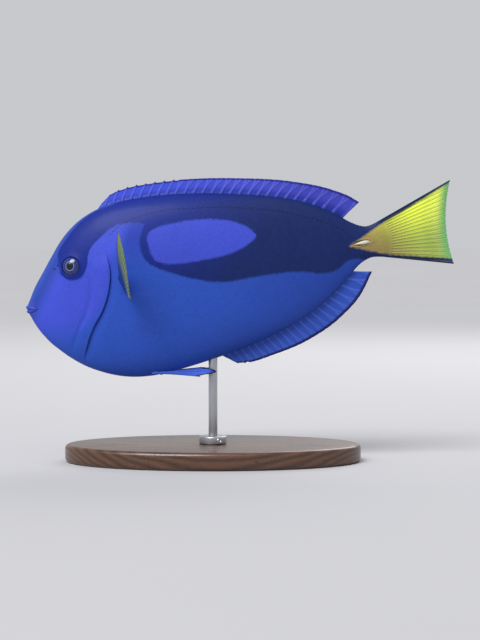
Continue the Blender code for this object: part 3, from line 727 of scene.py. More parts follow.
# %% Pectoral fins
PECTORAL_RAYS = (16, 0)
PECTORAL_ROOT = ((0.231 * LENGTH, 0.020 * LENGTH), (0.241 * LENGTH, -0.021 * LENGTH))
PECTORAL_LENGTH = 0.178 * LENGTH
PECTORAL_RISE = (math.radians(39), math.radians(-8))
PECTORAL_SWEEP = math.radians(4)
PECTORAL_CURL = 0.07
PECTORAL_SUNK = 1.2 * MM
PECTORAL_WAVE = 0.5 * MM
PECTORAL_FIRST_SHORTER = 0.12
PECTORAL_LAST_SHORTER = 0.52
PECTORAL_WAVES = 5
PECTORAL_MEMBRANE = (0.34 * MM, 0.13 * MM)
PECTORAL_RIDGE = (0.40 * MM, 0.14 * MM)
PECTORAL_FLARE = 0.8 * MM


def pectoral_heading(u):
    rise = blend(*PECTORAL_RISE, u)
    return unit(along(math.sin(PECTORAL_SWEEP), -math.cos(PECTORAL_SWEEP) * np.cos(rise), np.sin(rise)))


def pectoral_root(u):
    x = blend(PECTORAL_ROOT[0][0], PECTORAL_ROOT[1][0], u)
    z = blend(PECTORAL_ROOT[0][1], PECTORAL_ROOT[1][1], u)
    return along(x, -flank_y(x, z), z) - pectoral_heading(u) * PECTORAL_SUNK


def pectoral_reach(u):
    shorter = PECTORAL_FIRST_SHORTER * (1 - u) ** 6 + PECTORAL_LAST_SHORTER * u ** 1.5
    return PECTORAL_LENGTH * (1 - shorter) + PECTORAL_SUNK


def pectoral_tip(u):
    return pectoral_root(u) + pectoral_heading(u) * pectoral_reach(u)[:, None]


def pectoral_bend(u, v):
    curl = PECTORAL_CURL * pectoral_reach(u) + PECTORAL_WAVE * np.sin(PECTORAL_WAVES * u)
    return along(curl * v ** 2, 0, 0)


pectoral = fin("pectoral_blade_left", *PECTORAL_RAYS, pectoral_root, pectoral_tip, pectoral_bend,
               PECTORAL_MEMBRANE, PECTORAL_RIDGE, PECTORAL_FLARE)

# %% [markdown]
# The pelvic fins are slips with one spine and three soft rays, folded back under the belly. The tip of
# each of the four is given by its distance behind the snout, its distance from the middle in millimetres
# and its height, and a smooth curve joins them.

# %% Pelvic fins
PELVIC_RAYS = (4, 1)
PELVIC_ROOT_X = (0.258 * LENGTH, 0.288 * LENGTH)
PELVIC_ROOT_OUT = (4.8 * MM, 2.8 * MM)
PELVIC_ROOT_SUNK = 0.1 * MM
PELVIC_TIPS = [(0.362, 7.4, -0.2375), (0.402, 6.6, -0.2355), (0.398, 4.8, -0.2285), (0.370, 3.2, -0.2205)]
PELVIC_MEMBRANE = (0.32 * MM, 0.14 * MM)
PELVIC_RIDGE = (0.35 * MM, 0.14 * MM)
PELVIC_FLARE = 0.4 * MM
pelvic_tips = [curve([(i / 3, tip[k]) for i, tip in enumerate(PELVIC_TIPS)]) for k in range(3)]


def belly_z(x, y):
    """Height of the belly's skin at a distance from its middle."""
    land = land_of(x)
    cosine = np.clip((y - land) / (half_width_of(x) - land), 0, 1)
    return section(x, -np.arccos(cosine))[1]


def pelvic_root(u):
    x = blend(*PELVIC_ROOT_X, u)
    y = blend(*PELVIC_ROOT_OUT, u)
    return along(x, -y, belly_z(x, y) + PELVIC_ROOT_SUNK)


def pelvic_tip(u):
    return along(pelvic_tips[0](u) * LENGTH, -pelvic_tips[1](u) * MM, pelvic_tips[2](u) * LENGTH)


def pelvic_bend(u, v):
    return along(0 * u * v, 0, 0)


pelvic = fin("pelvic_blade_left", *PELVIC_RAYS, pelvic_root, pelvic_tip, pelvic_bend,
             PELVIC_MEMBRANE, PELVIC_RIDGE, PELVIC_FLARE)

# %% [markdown]
# Both of these fins come in pairs. A Mirror modifier would make one piece of a pair, but each fin stands
# for a solid of its own. So the right fins are copies, turned over to the other side, and as that turns
# their faces inside out, the faces are flipped back.

# %% Fins of the right side
def mirrored(piece, name):
    """The same piece on the right side of the fish."""
    mesh = piece.data.copy()
    mesh.transform(Matrix.Scale(-1, 4, (0, 1, 0)))
    mesh.flip_normals()
    twin = bpy.data.objects.new(name, mesh)
    twin.matrix_world = piece.matrix_world
    parts.objects.link(twin)
    return twin


pectorals = [pectoral, mirrored(pectoral, "pectoral_blade_right")]
pelvics = [pelvic, mirrored(pelvic, "pelvic_blade_right")]
print("mirrored:", pectorals[1].name, "and", pelvics[1].name)

# %% [markdown]
# A surgeonfish carries a folded blade on each side of its tail stem. It is a ball drawn out
# along the stem and pinched towards its point, which lies forward in the sheath.

# %% Tail spines
SPINE_HALF = (4.2 * MM, 0.9 * MM, 1.1 * MM)
SPINE_POINT = 0.25
SPINE_TAPER = 1.6


def spine_rings():
    """Rings of a ball drawn out along X, finer towards its front end."""
    rings = ball(1, 1, 1, rings=32, columns=40)[..., [2, 0, 1]]
    taper = blend(SPINE_POINT, 1.0, ease((rings[..., :1] + 1) / SPINE_TAPER))
    return rings * np.array(SPINE_HALF) * np.concatenate([taper ** 0, taper, taper], axis=-1)


spines = []
for side, name in ((-1, "left"), (1, "right")):
    normal = flank_normal(SPINE_X, SPINE_Z)
    turn = math.atan2(normal.x, -normal.y) * -side
    place = flank(SPINE_X, SPINE_Z) * Vector((1, -side, 1))
    matrix = POSE @ Matrix.Translation(place) @ Matrix.Rotation(turn, 4, "Z")
    spines.append(loft(f"scalpel_{name}", spine_rings(), matrix))
print(f"each tail spine is {2 * SPINE_HALF[0] / MM:.1f} mm long")

# %% [markdown]
# All pieces of the fish are done, so they are tipped into the pose, point by point. The eyes and the
# tail spines keep frames of their own, since their materials draw rings and grain in them.

# %% Tip the fish
for piece in [skin, dorsal, anal, tail, *pectorals, *pelvics]:
    piece.data.transform(piece.matrix_world)
    piece.matrix_world = Matrix.Identity(4)
bpy.context.view_layer.update()
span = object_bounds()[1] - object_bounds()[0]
print("the tipped fish and its solids span", [round(v / MM, 1) for v in span], "mm")

# %% [markdown]
# The stand is plain: an oval foot of dark wood, turned with a soft edge, a steel rod, and a collar that
# hides the hole. Each is a loft of rings read off a short profile, given as pairs of inset and height.

# %% Stand
FOOT_EDGE = 2.2 * MM
COLLAR_EDGE = 0.6 * MM
ROD_EDGE = 0.3 * MM


def turned(name, half_x, half_y, profile, columns=160):
    """Rings round an upright axis at the rod, one for each (inset, height) of a profile."""
    turn = 2 * np.pi * np.arange(columns) / columns
    rings = [along(rod_x + (half_x - inset) * np.cos(turn), (half_y - inset) * np.sin(turn), height)
             for inset, height in profile]
    return loft(name, np.array(rings), Matrix.Identity(4))


def rounded(bottom, top, radius, steps=8):
    """A profile with both of its edges rounded."""
    bend = [math.pi / 2 * i / steps for i in range(steps + 1)]
    lower = [(radius * (1 - math.sin(a)), bottom + radius * (1 - math.cos(a))) for a in bend]
    upper = [(radius * (1 - math.cos(a)), top - radius * (1 - math.sin(a))) for a in bend]
    return lower + upper


base_low, base_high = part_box("stand_base")
collar_low, collar_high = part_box("stand_collar")
base_half_x, base_half_y = (base_high.x - base_low.x) / 2, (base_high.y - base_low.y) / 2
foot_profile = rounded(base_low.z, base_high.z, FOOT_EDGE)
wood = turned("oval_foot", base_half_x, base_half_y, foot_profile, 256)
collar_radius = (collar_high.x - collar_low.x) / 2
collar_profile = rounded(base_high.z, collar_high.z, COLLAR_EDGE, 5)
collar = turned("steel_collar", collar_radius, collar_radius, collar_profile)
rod_radius = (rod_high.x - rod_low.x) / 2
rod_profile = rounded(rod_low.z, rod_high.z, ROD_EDGE, 3)
rod = turned("steel_rod", rod_radius, rod_radius, rod_profile, 64)
print(f"the foot is {2 * base_half_x / MM:.0f} x {2 * base_half_y / MM:.0f} mm")

# %% [markdown]
# The collar is held to the rod by a headless screw with a six-sided hole for its key. Its rings start on
# the outside, go over a small chamfer and end in the hexagon at the bottom of the hole.

# %% Screw in the collar
SCREW_RADIUS = 1.3 * MM
SCREW_LENGTH = 2.0 * MM
SCREW_CHAMFER = 0.2 * MM
KEY_BEVEL = 0.12 * MM
KEY_HALF_WIDTH = 0.65 * MM
KEY_DEPTH = 0.9 * MM
SCREW_OUT = 0.15 * MM
SCREW_TURN = math.radians(-62)


def screw_ring(radius, depth, six_sided, columns=96):
    """A ring round the screw's own X axis, at a depth below its outer end."""
    turn = 2 * np.pi * np.arange(columns) / columns
    in_facet = turn % (np.pi / 3) - np.pi / 6
    reach = radius / np.cos(in_facet) if six_sided else radius + 0 * turn
    return along(SCREW_OUT - depth, reach * np.cos(turn), reach * np.sin(turn))


screw_rings = [
    screw_ring(SCREW_RADIUS, SCREW_LENGTH, False),
    screw_ring(SCREW_RADIUS, SCREW_CHAMFER, False),
    screw_ring(SCREW_RADIUS - SCREW_CHAMFER, 0, False),
    screw_ring(KEY_HALF_WIDTH + KEY_BEVEL, 0, True),
    screw_ring(KEY_HALF_WIDTH, KEY_BEVEL, True),
    screw_ring(KEY_HALF_WIDTH, KEY_DEPTH, True),
]
out_of_collar = Matrix.Rotation(SCREW_TURN, 4, "Z") @ Matrix.Translation((collar_radius, 0, 0))
collar_middle = Matrix.Translation((rod_x, 0, (base_high.z + collar_high.z) / 2))
screw = loft("collar_screw", np.array(screw_rings), collar_middle @ out_of_collar)
screw.data.set_sharp_from_angle(angle=math.radians(35))
print(f"a screw of {2 * SCREW_RADIUS / MM:.1f} mm in a collar of {2 * collar_radius / MM:.0f} mm")

# %% [markdown]
# Now the finishes. A material is a graph of nodes, and a graph reads poorly as a list of links. Here one
# small class wraps the output of a node, so that a sum or a product of two outputs is written as
# plain maths, and every other node comes from a single method. Colours never go through a Math node,
# which would turn them grey.

# %% Shader maths
class Wire:
    """What leaves one socket of a material's nodes. Maths on wires adds Math nodes."""

    def __init__(self, tree, socket=None):
        self.tree = tree
        self.socket = socket

    def node(self, kind, settings=None, sockets=None, output=0):
        """Adds a node: first its settings, then the values or links of its sockets."""
        made = self.tree.nodes.new("ShaderNode" + kind)
        for name, value in (settings or {}).items():
            if name == "points":
                self.bend(made.mapping, value)
            else:
                setattr(made, name, value)
        for key, value in (sockets or {}).items():
            if isinstance(value, Wire):
                self.tree.links.new(value.socket, made.inputs[key])
            else:
                made.inputs[key].default_value = value
        if isinstance(output, tuple):
            return [Wire(self.tree, made.outputs[name]) for name in output]
        return Wire(self.tree, made.outputs[output])

    @staticmethod
    def bend(mapping, points):
        """Leads a node's curve through points."""
        line = mapping.curves[0].points
        while len(line) < len(points):
            line.new(0, 0)
        for handle, place in zip(line, points):
            handle.location = place
        mapping.update()

    def math(self, operation, *values):
        return self.node("Math", {"operation": operation}, dict(enumerate(values)))

    def __add__(self, other):
        return self.math("ADD", self, other)

    def __sub__(self, other):
        return self.math("SUBTRACT", self, other)

    def __rsub__(self, other):
        return self.math("SUBTRACT", other, self)

    def __mul__(self, other):
        return self.math("MULTIPLY", self, other)

    def __truediv__(self, other):
        return self.math("DIVIDE", self, other)

    def __rtruediv__(self, other):
        return self.math("DIVIDE", other, self)

    def __abs__(self):
        return self.math("ABSOLUTE", self)

    def waves(self, length):
        """A sine that repeats after a length."""
        return self.math("SINE", self * (2 * math.pi / length))

    def stretched(self, x, y, z):
        """A place with its axes scaled, which draws a texture out along the small ones."""
        return self.node("VectorMath", {"operation": "MULTIPLY"}, {0: self, 1: (x, y, z)})

    __radd__ = __add__
    __rmul__ = __mul__


print("a wire knows", ", ".join(name for name in vars(Wire) if not name.startswith("__")))

# %% [markdown]
# A few helpers make the recipes below short. Nearly all of them are masks: numbers from 0 to 1 over the
# surface that say where one coat of colour covers the next. A mask fades at a border over a width, and
# where a pair of numbers sets one, the pair is that border and that width.

# %% Masks and coats
def lower_of(a, b):
    return a.math("MINIMUM", a, b)


def higher_of(a, b):
    return a.math("MAXIMUM", a, b)


def above(value, border, width):
    """0 below a border and 1 above it, eased over a width."""
    return value.node(
        "MapRange", {"interpolation_type": "SMOOTHSTEP"},
        {"Value": value - border, "From Min": -width / 2, "From Max": width / 2},
    )


def below(value, border, width):
    """1 below a border and 0 above it, eased over a width."""
    return above(border - value, 0, width)


def paint(under, over, mask):
    """One colour over another where the mask is 1."""
    return mask.node("Mix", {"data_type": "RGBA"}, {0: mask, 6: under, 7: over}, output=2)


def line_through(value, points):
    """A curve through points whose second numbers lie between -0.5 and 0.5."""
    shifted = [(x, y + 0.5) for x, y in points]
    return value.node("FloatCurve", {"points": shifted}, {"Value": value}) - 0.5


def srgb(red, green, blue):
    """A colour as a screen counts it, from 0 to 255, turned into the light it stands for."""
    light = [((c / 255 + 0.055) / 1.055) ** 2.4 if c > 10 else c / 255 / 12.92 for c in (red, green, blue)]
    return (*light, 1.0)


def new_finish(name, constants):
    """A material, a bare wire to start its nodes from, and its shader's sockets."""
    material = bpy.data.materials.new(name)
    material.use_nodes = True
    sockets = material.node_tree.nodes["Principled BSDF"].inputs
    for socket, value in constants.items():
        sockets[socket].default_value = value
    return material, Wire(material.node_tree), sockets


def feed(sockets, colour, roughness=None, height=None, rise=0.0, strength=0.0):
    """Links a colour, a roughness and a bump, its rise in metres, into a shader's sockets."""
    links = colour.tree.links
    links.new(colour.socket, sockets["Base Color"])
    if roughness:
        links.new(roughness.socket, sockets["Roughness"])
    if height:
        bump = height.node("Bump", None, {"Strength": strength, "Distance": rise, "Height": height})
        links.new(bump.socket, sockets["Normal"])


def dress(material, *pieces):
    """Gives pieces their one material."""
    for piece in pieces:
        piece.data.materials.append(material)


print("yellow as light:", [round(c, 3) for c in srgb(226, 226, 60)])

# %% [markdown]
# The markings are the fish's signature: a dark blue band from the eye along the back, which loops
# round an oval patch on the flank, and a yellow wedge that opens into the tail. They could be an image
# wrapped round the body. Here each border is a curve through a few places, in shares of the length
# behind the snout and above the axis, so it stays sharp at any size. The fronts of the loop and the
# patch and the rear of the cheek run upright, so they are read by level, with 0.5 added to it.

# %% Borders of the markings
BAND_START = 0.0965
BAND_TOP = [
    (0.0, 0.02), (0.090, 0.060), (0.0985, 0.098), (0.128, 0.132), (0.162, 0.160), (0.200, 0.178),
    (0.266, 0.196), (0.32, 0.30), (1.0, 0.40),
]
BAND_LOW = [
    (0.0, 0.06), (0.095, 0.050), (0.110, 0.036), (0.128, 0.031), (0.145, 0.036), (0.159, 0.054),
    (0.172, 0.090), (0.206, 0.118), (0.238, 0.135), (0.278, 0.136), (0.33, 0.12), (1.0, 0.10),
]
LOOP_FRONT = [
    (0.0, 0.42), (0.45, 0.40), (0.50, 0.345), (0.535, 0.302), (0.578, 0.2875), (0.615, 0.2995),
    (0.66, 0.33), (1.0, 0.45),
]
LOOP_LOW = [
    (0.0, 0.03), (0.30, 0.035), (0.322, 0.021), (0.397, -0.017), (0.455, -0.035), (0.5225, -0.037),
    (0.624, -0.043), (0.710, -0.059), (0.755, -0.040), (0.79, -0.050), (0.832, -0.10), (1.0, -0.30),
]
PATCH_FRONT = [
    (0.0, 0.45), (0.50, 0.400), (0.520, 0.350), (0.535, 0.322), (0.578, 0.3065), (0.605, 0.312),
    (0.625, 0.36), (1.0, 0.50),
]
PATCH_TOP = [
    (0.0, 0.11), (0.31, 0.113), (0.36, 0.1165), (0.42, 0.1155), (0.47, 0.107), (0.51, 0.093), (0.54, 0.072),
    (0.5515, 0.054), (0.56, 0.03), (1.0, 0.0),
]
PATCH_LOW = [
    (0.0, 0.09), (0.30, 0.052), (0.33, 0.033), (0.37, 0.0245), (0.43, 0.0225), (0.49, 0.026), (0.53, 0.039),
    (0.5515, 0.054), (0.56, 0.08), (1.0, 0.12),
]
WEDGE_HALF = [
    (0.0, -0.2), (0.725, -0.030), (0.756, 0.0), (0.777, 0.0095), (0.797, 0.018), (0.832, 0.033),
    (0.90, 0.054), (1.0, 0.086),
]
WEDGE_MIDDLE = [(0.0, -0.009), (0.777, -0.009), (0.832, -0.008), (1.0, 0.002)]
CHEEK_REAR = [
    (0.0, 0.0), (0.34, 0.03), (0.40, 0.095), (0.430, 0.145), (0.457, 0.175), (0.498, 0.197), (0.5415, 0.214),
    (0.60, 0.25), (1.0, 0.40),
]
print("the loop has", len(BAND_TOP + BAND_LOW + LOOP_FRONT + LOOP_LOW), "places")

# %% [markdown]
# A material needs to know where on the fish a point lies, and the fish is tipped. A Mapping node undoes
# the pose, which brings every point back to the level fish and lets the markings run from the skin over
# the fins without a break. A fine noise roughens the borders, as single scales do on the real fish.

# %% Places and masks of the markings
BORDER_WIDTH = 0.0075
CHEEK_FADE = 5 * BORDER_WIDTH
ROUGH_BORDER = 0.006
ROUGH_SIZE = 1.6 * MM


def noise(wire, place, size, detail=2.0, roughness=0.5):
    """Noise between 0 and 1 with features of a size in metres."""
    return wire.node("TexNoise", None, {
        "Vector": place, "Scale": 1 / size, "Detail": detail, "Roughness": roughness,
    }, output="Fac")


def fish_place(start):
    """A point of the level fish in metres, and how far along and up it is in shares of the length."""
    tipped = start.node("TexCoord", output="Object")
    place = start.node("Mapping", {"vector_type": "TEXTURE"}, {
        "Vector": tipped, "Location": POSE.translation, "Rotation": POSE.to_euler(),
    })
    x, z = start.node("SeparateXYZ", None, {"Vector": place}, output=("X", "Z"))
    rough = (noise(start, place, ROUGH_SIZE, 3) - 0.5) * ROUGH_BORDER
    return place, x / LENGTH + rough, z / LENGTH + rough


def markings(s, h):
    """Masks of the dark loop, the patch inside it, the yellow wedge and the bright cheek."""
    band = lower_of(line_through(s, BAND_TOP) - h, h - line_through(s, BAND_LOW))
    band = lower_of(band, s - BAND_START)
    loop = lower_of(s - line_through(h + 0.5, LOOP_FRONT), h - line_through(s, LOOP_LOW))
    dark = above(higher_of(band, loop), 0, BORDER_WIDTH)
    patch = lower_of(line_through(s, PATCH_TOP) - h, h - line_through(s, PATCH_LOW))
    patch = above(lower_of(patch, s - line_through(h + 0.5, PATCH_FRONT)), 0, BORDER_WIDTH)
    wedge = line_through(s, WEDGE_HALF) - abs(h - line_through(s, WEDGE_MIDDLE))
    cheek = below(s, line_through(h + 0.5, CHEEK_REAR), CHEEK_FADE)
    return dark, patch, above(wedge, 0, BORDER_WIDTH), cheek


print(f"the borders fade over {BORDER_WIDTH * LENGTH / MM:.1f} mm")

# %% [markdown]
# Under its texture the skin is several blues laid over each other: mid blue on the belly, a bright
# violet blue on the cheek and in the patch, a duller rim down the forehead, and dark blue in the loop.
# Each is a colour and a soft mask, painted one over the other like coats of paint. The masks go by the
# place along the fish, its level, or how deep it lies below the line of the back.

# %% Colours of the flesh
BELLY_BLUE = srgb(46, 85, 193)
REAR_BLUE = srgb(38, 70, 166)
ARM_BLUE = srgb(40, 63, 176)
CHEEK_BLUE = srgb(68, 84, 214)
FOREHEAD_BLUE = srgb(45, 68, 163)
NAPE_BLUE = srgb(50, 79, 172)
LOOP_FRONT_BLUE = srgb(12, 36, 134)
LOOP_REAR_BLUE = srgb(15, 33, 86)
PATCH_BLUE = srgb(65, 79, 204)
WEDGE_YELLOW = srgb(240, 255, 74)
# painted shade: the duller, darker yellow of the wedge's lower half
WEDGE_PAINTED_SHADE = srgb(166, 188, 72)
WEDGE_ROOT = srgb(160, 136, 84)
WEDGE_LEVEL = (0.010, 0.10)
WEDGE_ALONG = (0.860, 0.17)
WEDGE_SLANT = 0.5
REAR_ALONG = (0.55, 0.5)
ARM_LEVEL = (0.065, 0.10)
ARM_ALONG = (0.34, 0.06)
FOREHEAD_DEPTH = (0.075, 0.06)
CHEEK_LEVEL = (-0.085, 0.10)
CHEEK_DEPTH = (0.050, 0.055)
NAPE_DEPTH = (0.018, 0.018)
NAPE_ALONG = (0.30, 0.06)
LOOP_ALONG = (0.36, 0.42)
LOOP_SLANT = 0.8
BACK_LINE = [(0.0, -0.02)] + TOP + [(1.0, 0.05)]


def wedge_yellow(s, h):
    """Brown at the apex of the wedge, clear yellow towards the upper corner of the tail, and a duller,
    darker yellow painted in as shade over its lower half.
    """
    # the lower half of the wedge's yellow is painted darker as shade
    yellow = paint(WEDGE_PAINTED_SHADE, WEDGE_YELLOW, above(h, *WEDGE_LEVEL))
    return paint(WEDGE_ROOT, yellow, above(s + WEDGE_SLANT * h, *WEDGE_ALONG))


def blues(s, h, cheek):
    """The body without its dark loop, patch and wedge."""
    depth = line_through(s, BACK_LINE) - h
    colour = paint(BELLY_BLUE, REAR_BLUE, above(s, *REAR_ALONG))
    colour = paint(colour, ARM_BLUE, above(h, *ARM_LEVEL) * below(s, *ARM_ALONG))
    colour = paint(colour, FOREHEAD_BLUE, cheek * below(depth, *FOREHEAD_DEPTH))
    colour = paint(colour, CHEEK_BLUE, cheek * above(h, *CHEEK_LEVEL) * above(depth, *CHEEK_DEPTH))
    return paint(colour, NAPE_BLUE, below(depth, *NAPE_DEPTH) * below(s, *NAPE_ALONG))


def flesh(s, h):
    """The plain colours of the flesh, and the mask of the wedge."""
    dark, patch, wedge, cheek = markings(s, h)
    navy = paint(LOOP_FRONT_BLUE, LOOP_REAR_BLUE, above(s - LOOP_SLANT * h, *LOOP_ALONG))
    colour = paint(blues(s, h, cheek), navy, dark)
    colour = paint(colour, PATCH_BLUE, patch)
    return paint(colour, wedge_yellow(s, h), wedge), wedge


print("cheek, as light:", [round(c, 3) for c in CHEEK_BLUE[:3]])

# %% [markdown]
# The skin of a surgeonfish feels like shagreen: its scales are well under a millimetre across, higher
# than long, and each carries a fine spiny edge. They are finer than the points of the mesh, so here they
# are a bump made of cells. The cells also paint a little shade into the gaps between scales, where the
# bump dips, and noises of three sizes keep the blue from looking flat. The skin round the mouth is smoother.

# %% Scales and mottling
SHADE = srgb(8, 12, 40)
SCALE_SIZE = 0.62 * MM
SCALE_STRETCH = (1, 1, 0.75)
SCALE_RISE = 0.07 * MM
SMOOTH_ALONG = (0.085, 0.08)
SMOOTH_SHARE = 0.7
GAP_WIDTH = (0.085, 0.15)
# painted shade in the gaps between scales, where the bump dips
GAP_PAINTED_SHADE = 0.24
SHAGREEN_SIZE = 0.22 * MM
MOTTLE_SIZES = (3 * MM, 9 * MM, 26 * MM)
MOTTLE_SHADE = 0.10
MOTTLE_BRIGHT = 0.22

skin_finish, start, sockets = new_finish("velvet_skin", {
    "Coat Weight": 0.07, "Coat Roughness": 0.22, "Specular IOR Level": 0.12,
})
place, s, h = fish_place(start)
colour, wedge = flesh(s, h)
from_gap = start.node("TexVoronoi", {"feature": "DISTANCE_TO_EDGE"}, {
    "Vector": place.stretched(*SCALE_STRETCH), "Scale": 1 / SCALE_SIZE, "Randomness": 0.95,
}, output="Distance")
shagreen = noise(start, place, SHAGREEN_SIZE)
mottles = [noise(start, place, size) for size in MOTTLE_SIZES]
scaly = 1 - SMOOTH_SHARE * below(s, *SMOOTH_ALONG)
gaps = below(from_gap, *GAP_WIDTH) * scaly
# painted shade in the gaps between scales; the mottles are the skin's own uneven tone
colour = paint(colour, SHADE, gaps * GAP_PAINTED_SHADE + mottles[1] * MOTTLE_SHADE + mottles[2] * MOTTLE_SHADE)
colour = paint(colour, NAPE_BLUE, mottles[0] * shagreen * MOTTLE_BRIGHT * (1 - wedge))
print(f"scales of {SCALE_SIZE / MM:.2f} mm, raised by up to {SCALE_RISE / MM:.2f} mm")

# %% [markdown]
# The lateral line is a row of pores high on the flank, by which a fish feels moving water. The lips are
# bare and a little duller. A thin satin coat, set on the shader above, gives the whole the gloss of a
# painted model.

# %% Lateral line, lips and the skin's shader
LIP_BLUE = srgb(58, 74, 172)
LIP_ALONG = (0.024, 0.006)
LIP_LEVEL = -0.016
LIP_REACH = (0.017, 0.006)
LATERAL_LINE = [
    (0.0, 0.1), (0.21, 0.112), (0.26, 0.138), (0.33, 0.149), (0.42, 0.143), (0.52, 0.125), (0.61, 0.100),
    (0.69, 0.066), (0.74, 0.036), (0.77, 0.014), (0.80, -0.002), (1.0, -0.002),
]
LATERAL_WIDTH = (0.0014, 0.0026)
LATERAL_SHADE = 0.25
PORE_SHADE = 0.35
LATERAL_START = (0.222, 0.02)
LATERAL_END = (0.762, 0.02)
PORE_SPACING = 0.0105
PORE_BORDER = (0.2, 0.8)
LIP_SHARE = 0.7
SKIN_ROUGHNESS = 0.38
MOTTLE_ROUGHNESS = 0.12
GAP_ROUGHNESS = 0.15
SCALE_DOME = 3
SCALE_FLAT = 0.75
SHAGREEN_HEIGHT = 0.35
LATERAL_HEIGHT = 1.5
PORE_DEPTH = 2

lateral = below(abs(h - line_through(s, LATERAL_LINE)), *LATERAL_WIDTH)
lateral = lateral * above(s, *LATERAL_START) * below(s, *LATERAL_END)
pores = above(s.waves(PORE_SPACING), *PORE_BORDER)
colour = paint(colour, SHADE, lateral * (LATERAL_SHADE + PORE_SHADE * pores))
lips = below(s, *LIP_ALONG) * below(abs(h - LIP_LEVEL), *LIP_REACH)
colour = paint(colour, LIP_BLUE, lips * LIP_SHARE)
roughness = SKIN_ROUGHNESS + mottles[0] * MOTTLE_ROUGHNESS + gaps * GAP_ROUGHNESS
height = lower_of(from_gap * SCALE_DOME, SCALE_FLAT) * scaly + shagreen * SHAGREEN_HEIGHT
height = height + lateral * (LATERAL_HEIGHT - PORE_DEPTH * pores)
feed(sockets, colour, roughness, height, rise=SCALE_RISE, strength=0.6)
dress(skin_finish, skin)
print("the skin's material has", len(skin_finish.node_tree.nodes), "nodes")

# %% [markdown]
# The fins take their rays from the same maths as their mesh, read from the pair of numbers at each
# point: how far along the fin, and how far out from its root. The mask is 1 on the crest of a ray and 0
# on the membrane between.

# %% Rays and membrane
CREST_WIDTH = (0.035, 0.06)


def halfway(split):
    """The border and width at which a split of the rays opens."""
    return (1 + split[0]) / 2, 1 - split[0]


def ray_masks(start, rays, spines):
    """Places along and out from the root of a fin, and the crests of its rays."""
    uv = start.node("UVMap", {"uv_map": "fin"})
    u, v = start.node("SeparateXYZ", None, {"Vector": uv}, output=("X", "Y"))
    place = u * (rays - 1)
    nearest = place.math("ROUND", place)
    soft = above(nearest, spines - 0.5, 0.1)
    split = above(v, *halfway(FIRST_SPLIT)) * FIRST_SPLIT[1] * soft
    twig = above(v, *halfway(SECOND_SPLIT)) * SECOND_SPLIT[1] * soft
    off = abs(abs(abs(place - nearest) - split) - twig)
    width = 0.5 * (RAY_WIDTH[0] - (RAY_WIDTH[0] - RAY_WIDTH[1]) * v)
    return u, v, above(width + CREST_WIDTH[0] - off, 0, CREST_WIDTH[1])


print(f"the rays split {halfway(FIRST_SPLIT)[0]:.0%} and {halfway(SECOND_SPLIT)[0]:.0%} of the way out")

# %% [markdown]
# Every fin has the same finish, apart from its colours, which come in as a function. Bone is a little
# paler than the membrane and crossed by fine joints, and the membrane between the rays can be thin
# enough to see through.

# %% The finish of a fin
BONE = srgb(150, 168, 240)
RAY_JOINT = 0.020
JOINT_CREST = (0.75, 0.4)
JOINTS_FROM = (0.3, 0.3)
CLEAR_FROM = (0.75, 0.45)
BONE_SHARE = 0.08
JOINT_SHADE = 0.15
JOINT_DEPTH = 0.6
CLOUD_SIZE = 5 * MM
CLOUD_SHADE = 0.12
MEMBRANE_SHADE = 0.08
FIN_ROUGHNESS = 0.36
FIN_WEAR_SIZE = 2 * MM
FIN_WEAR = 0.14
FIN_GRAIN_SIZE = 0.4 * MM
FIN_GRAIN_HEIGHT = 0.5
FIN_RISE = 0.03 * MM


def fin_finish(name, rays, spines, colour_at, see_through=0.0):
    """A fin's material. colour_at gives its colour from the fish's place and the fin's own."""
    material, start, sockets = new_finish(name, {
        "Coat Weight": 0.06, "Coat Roughness": 0.22, "Specular IOR Level": 0.12,
    })
    place, s, h = fish_place(start)
    u, v, crest = ray_masks(start, rays, spines)
    joints = above(v.waves(RAY_JOINT), *JOINT_CREST) * crest * above(v, *JOINTS_FROM)
    colour, margin = colour_at(s, h, u, v)
    colour = paint(colour, BONE, crest * BONE_SHARE * (1 - margin))
    clouds = noise(start, place, CLOUD_SIZE) * CLOUD_SHADE
    colour = paint(colour, SHADE, joints * JOINT_SHADE + clouds + (1 - crest) * MEMBRANE_SHADE)
    roughness = FIN_ROUGHNESS + noise(start, place, FIN_WEAR_SIZE) * FIN_WEAR
    height = noise(start, place, FIN_GRAIN_SIZE, 3) * FIN_GRAIN_HEIGHT - joints * JOINT_DEPTH
    feed(sockets, colour, roughness, height, rise=FIN_RISE, strength=0.5)
    if see_through:
        clear = see_through * (1 - crest) * above(v, *CLEAR_FROM)
        start.tree.links.new((1 - clear).socket, sockets["Alpha"])
    return material


print("joints every", RAY_JOINT, "of a ray's length")

# %% [markdown]
# Each fin has colours of its own. The dorsal fin is dark at its foot, brightest in the middle and edged in
# dark violet. The tail carries on the yellow wedge between two dark edges and fades to green behind.
# The pectorals are blue at the root and yellow green further out, behind a dark leading edge.

# %% Colours of the fins
DORSAL_BLUE = srgb(70, 86, 216)
DORSAL_REAR_BLUE = srgb(66, 70, 184)
DORSAL_MARGIN_BLUE = srgb(34, 34, 138)
ANAL_BLUE = srgb(46, 78, 176)
ANAL_MARGIN_BLUE = srgb(20, 28, 92)
TAIL_TIP_GREEN = srgb(112, 190, 92)
TAIL_EDGE = srgb(28, 42, 74)
PECTORAL_YELLOW = srgb(146, 168, 84)
PECTORAL_BLUE = srgb(48, 84, 176)
PECTORAL_EDGE = srgb(40, 62, 104)
DORSAL_FOOT_OUT = (0.30, 0.56)
DORSAL_REAR_ALONG = (0.55, 0.7)
DORSAL_MARGIN_OUT = (0.90, 0.10)
ANAL_MARGIN_OUT = (0.88, 0.10)
PELVIC_MARGIN_OUT = (0.92, 0.10)
TAIL_GREEN_OUT = (0.915, 0.15)
PECTORAL_YELLOW_OUT = (0.56, 0.50)
PECTORAL_EDGE_OUT = (0.985, 0.04)
PECTORAL_EDGE_SHARE = 0.7
PECTORAL_LEADING = (0.018, 0.02)
TAIL_CLEAR = 0.35
PECTORAL_CLEAR = 0.45


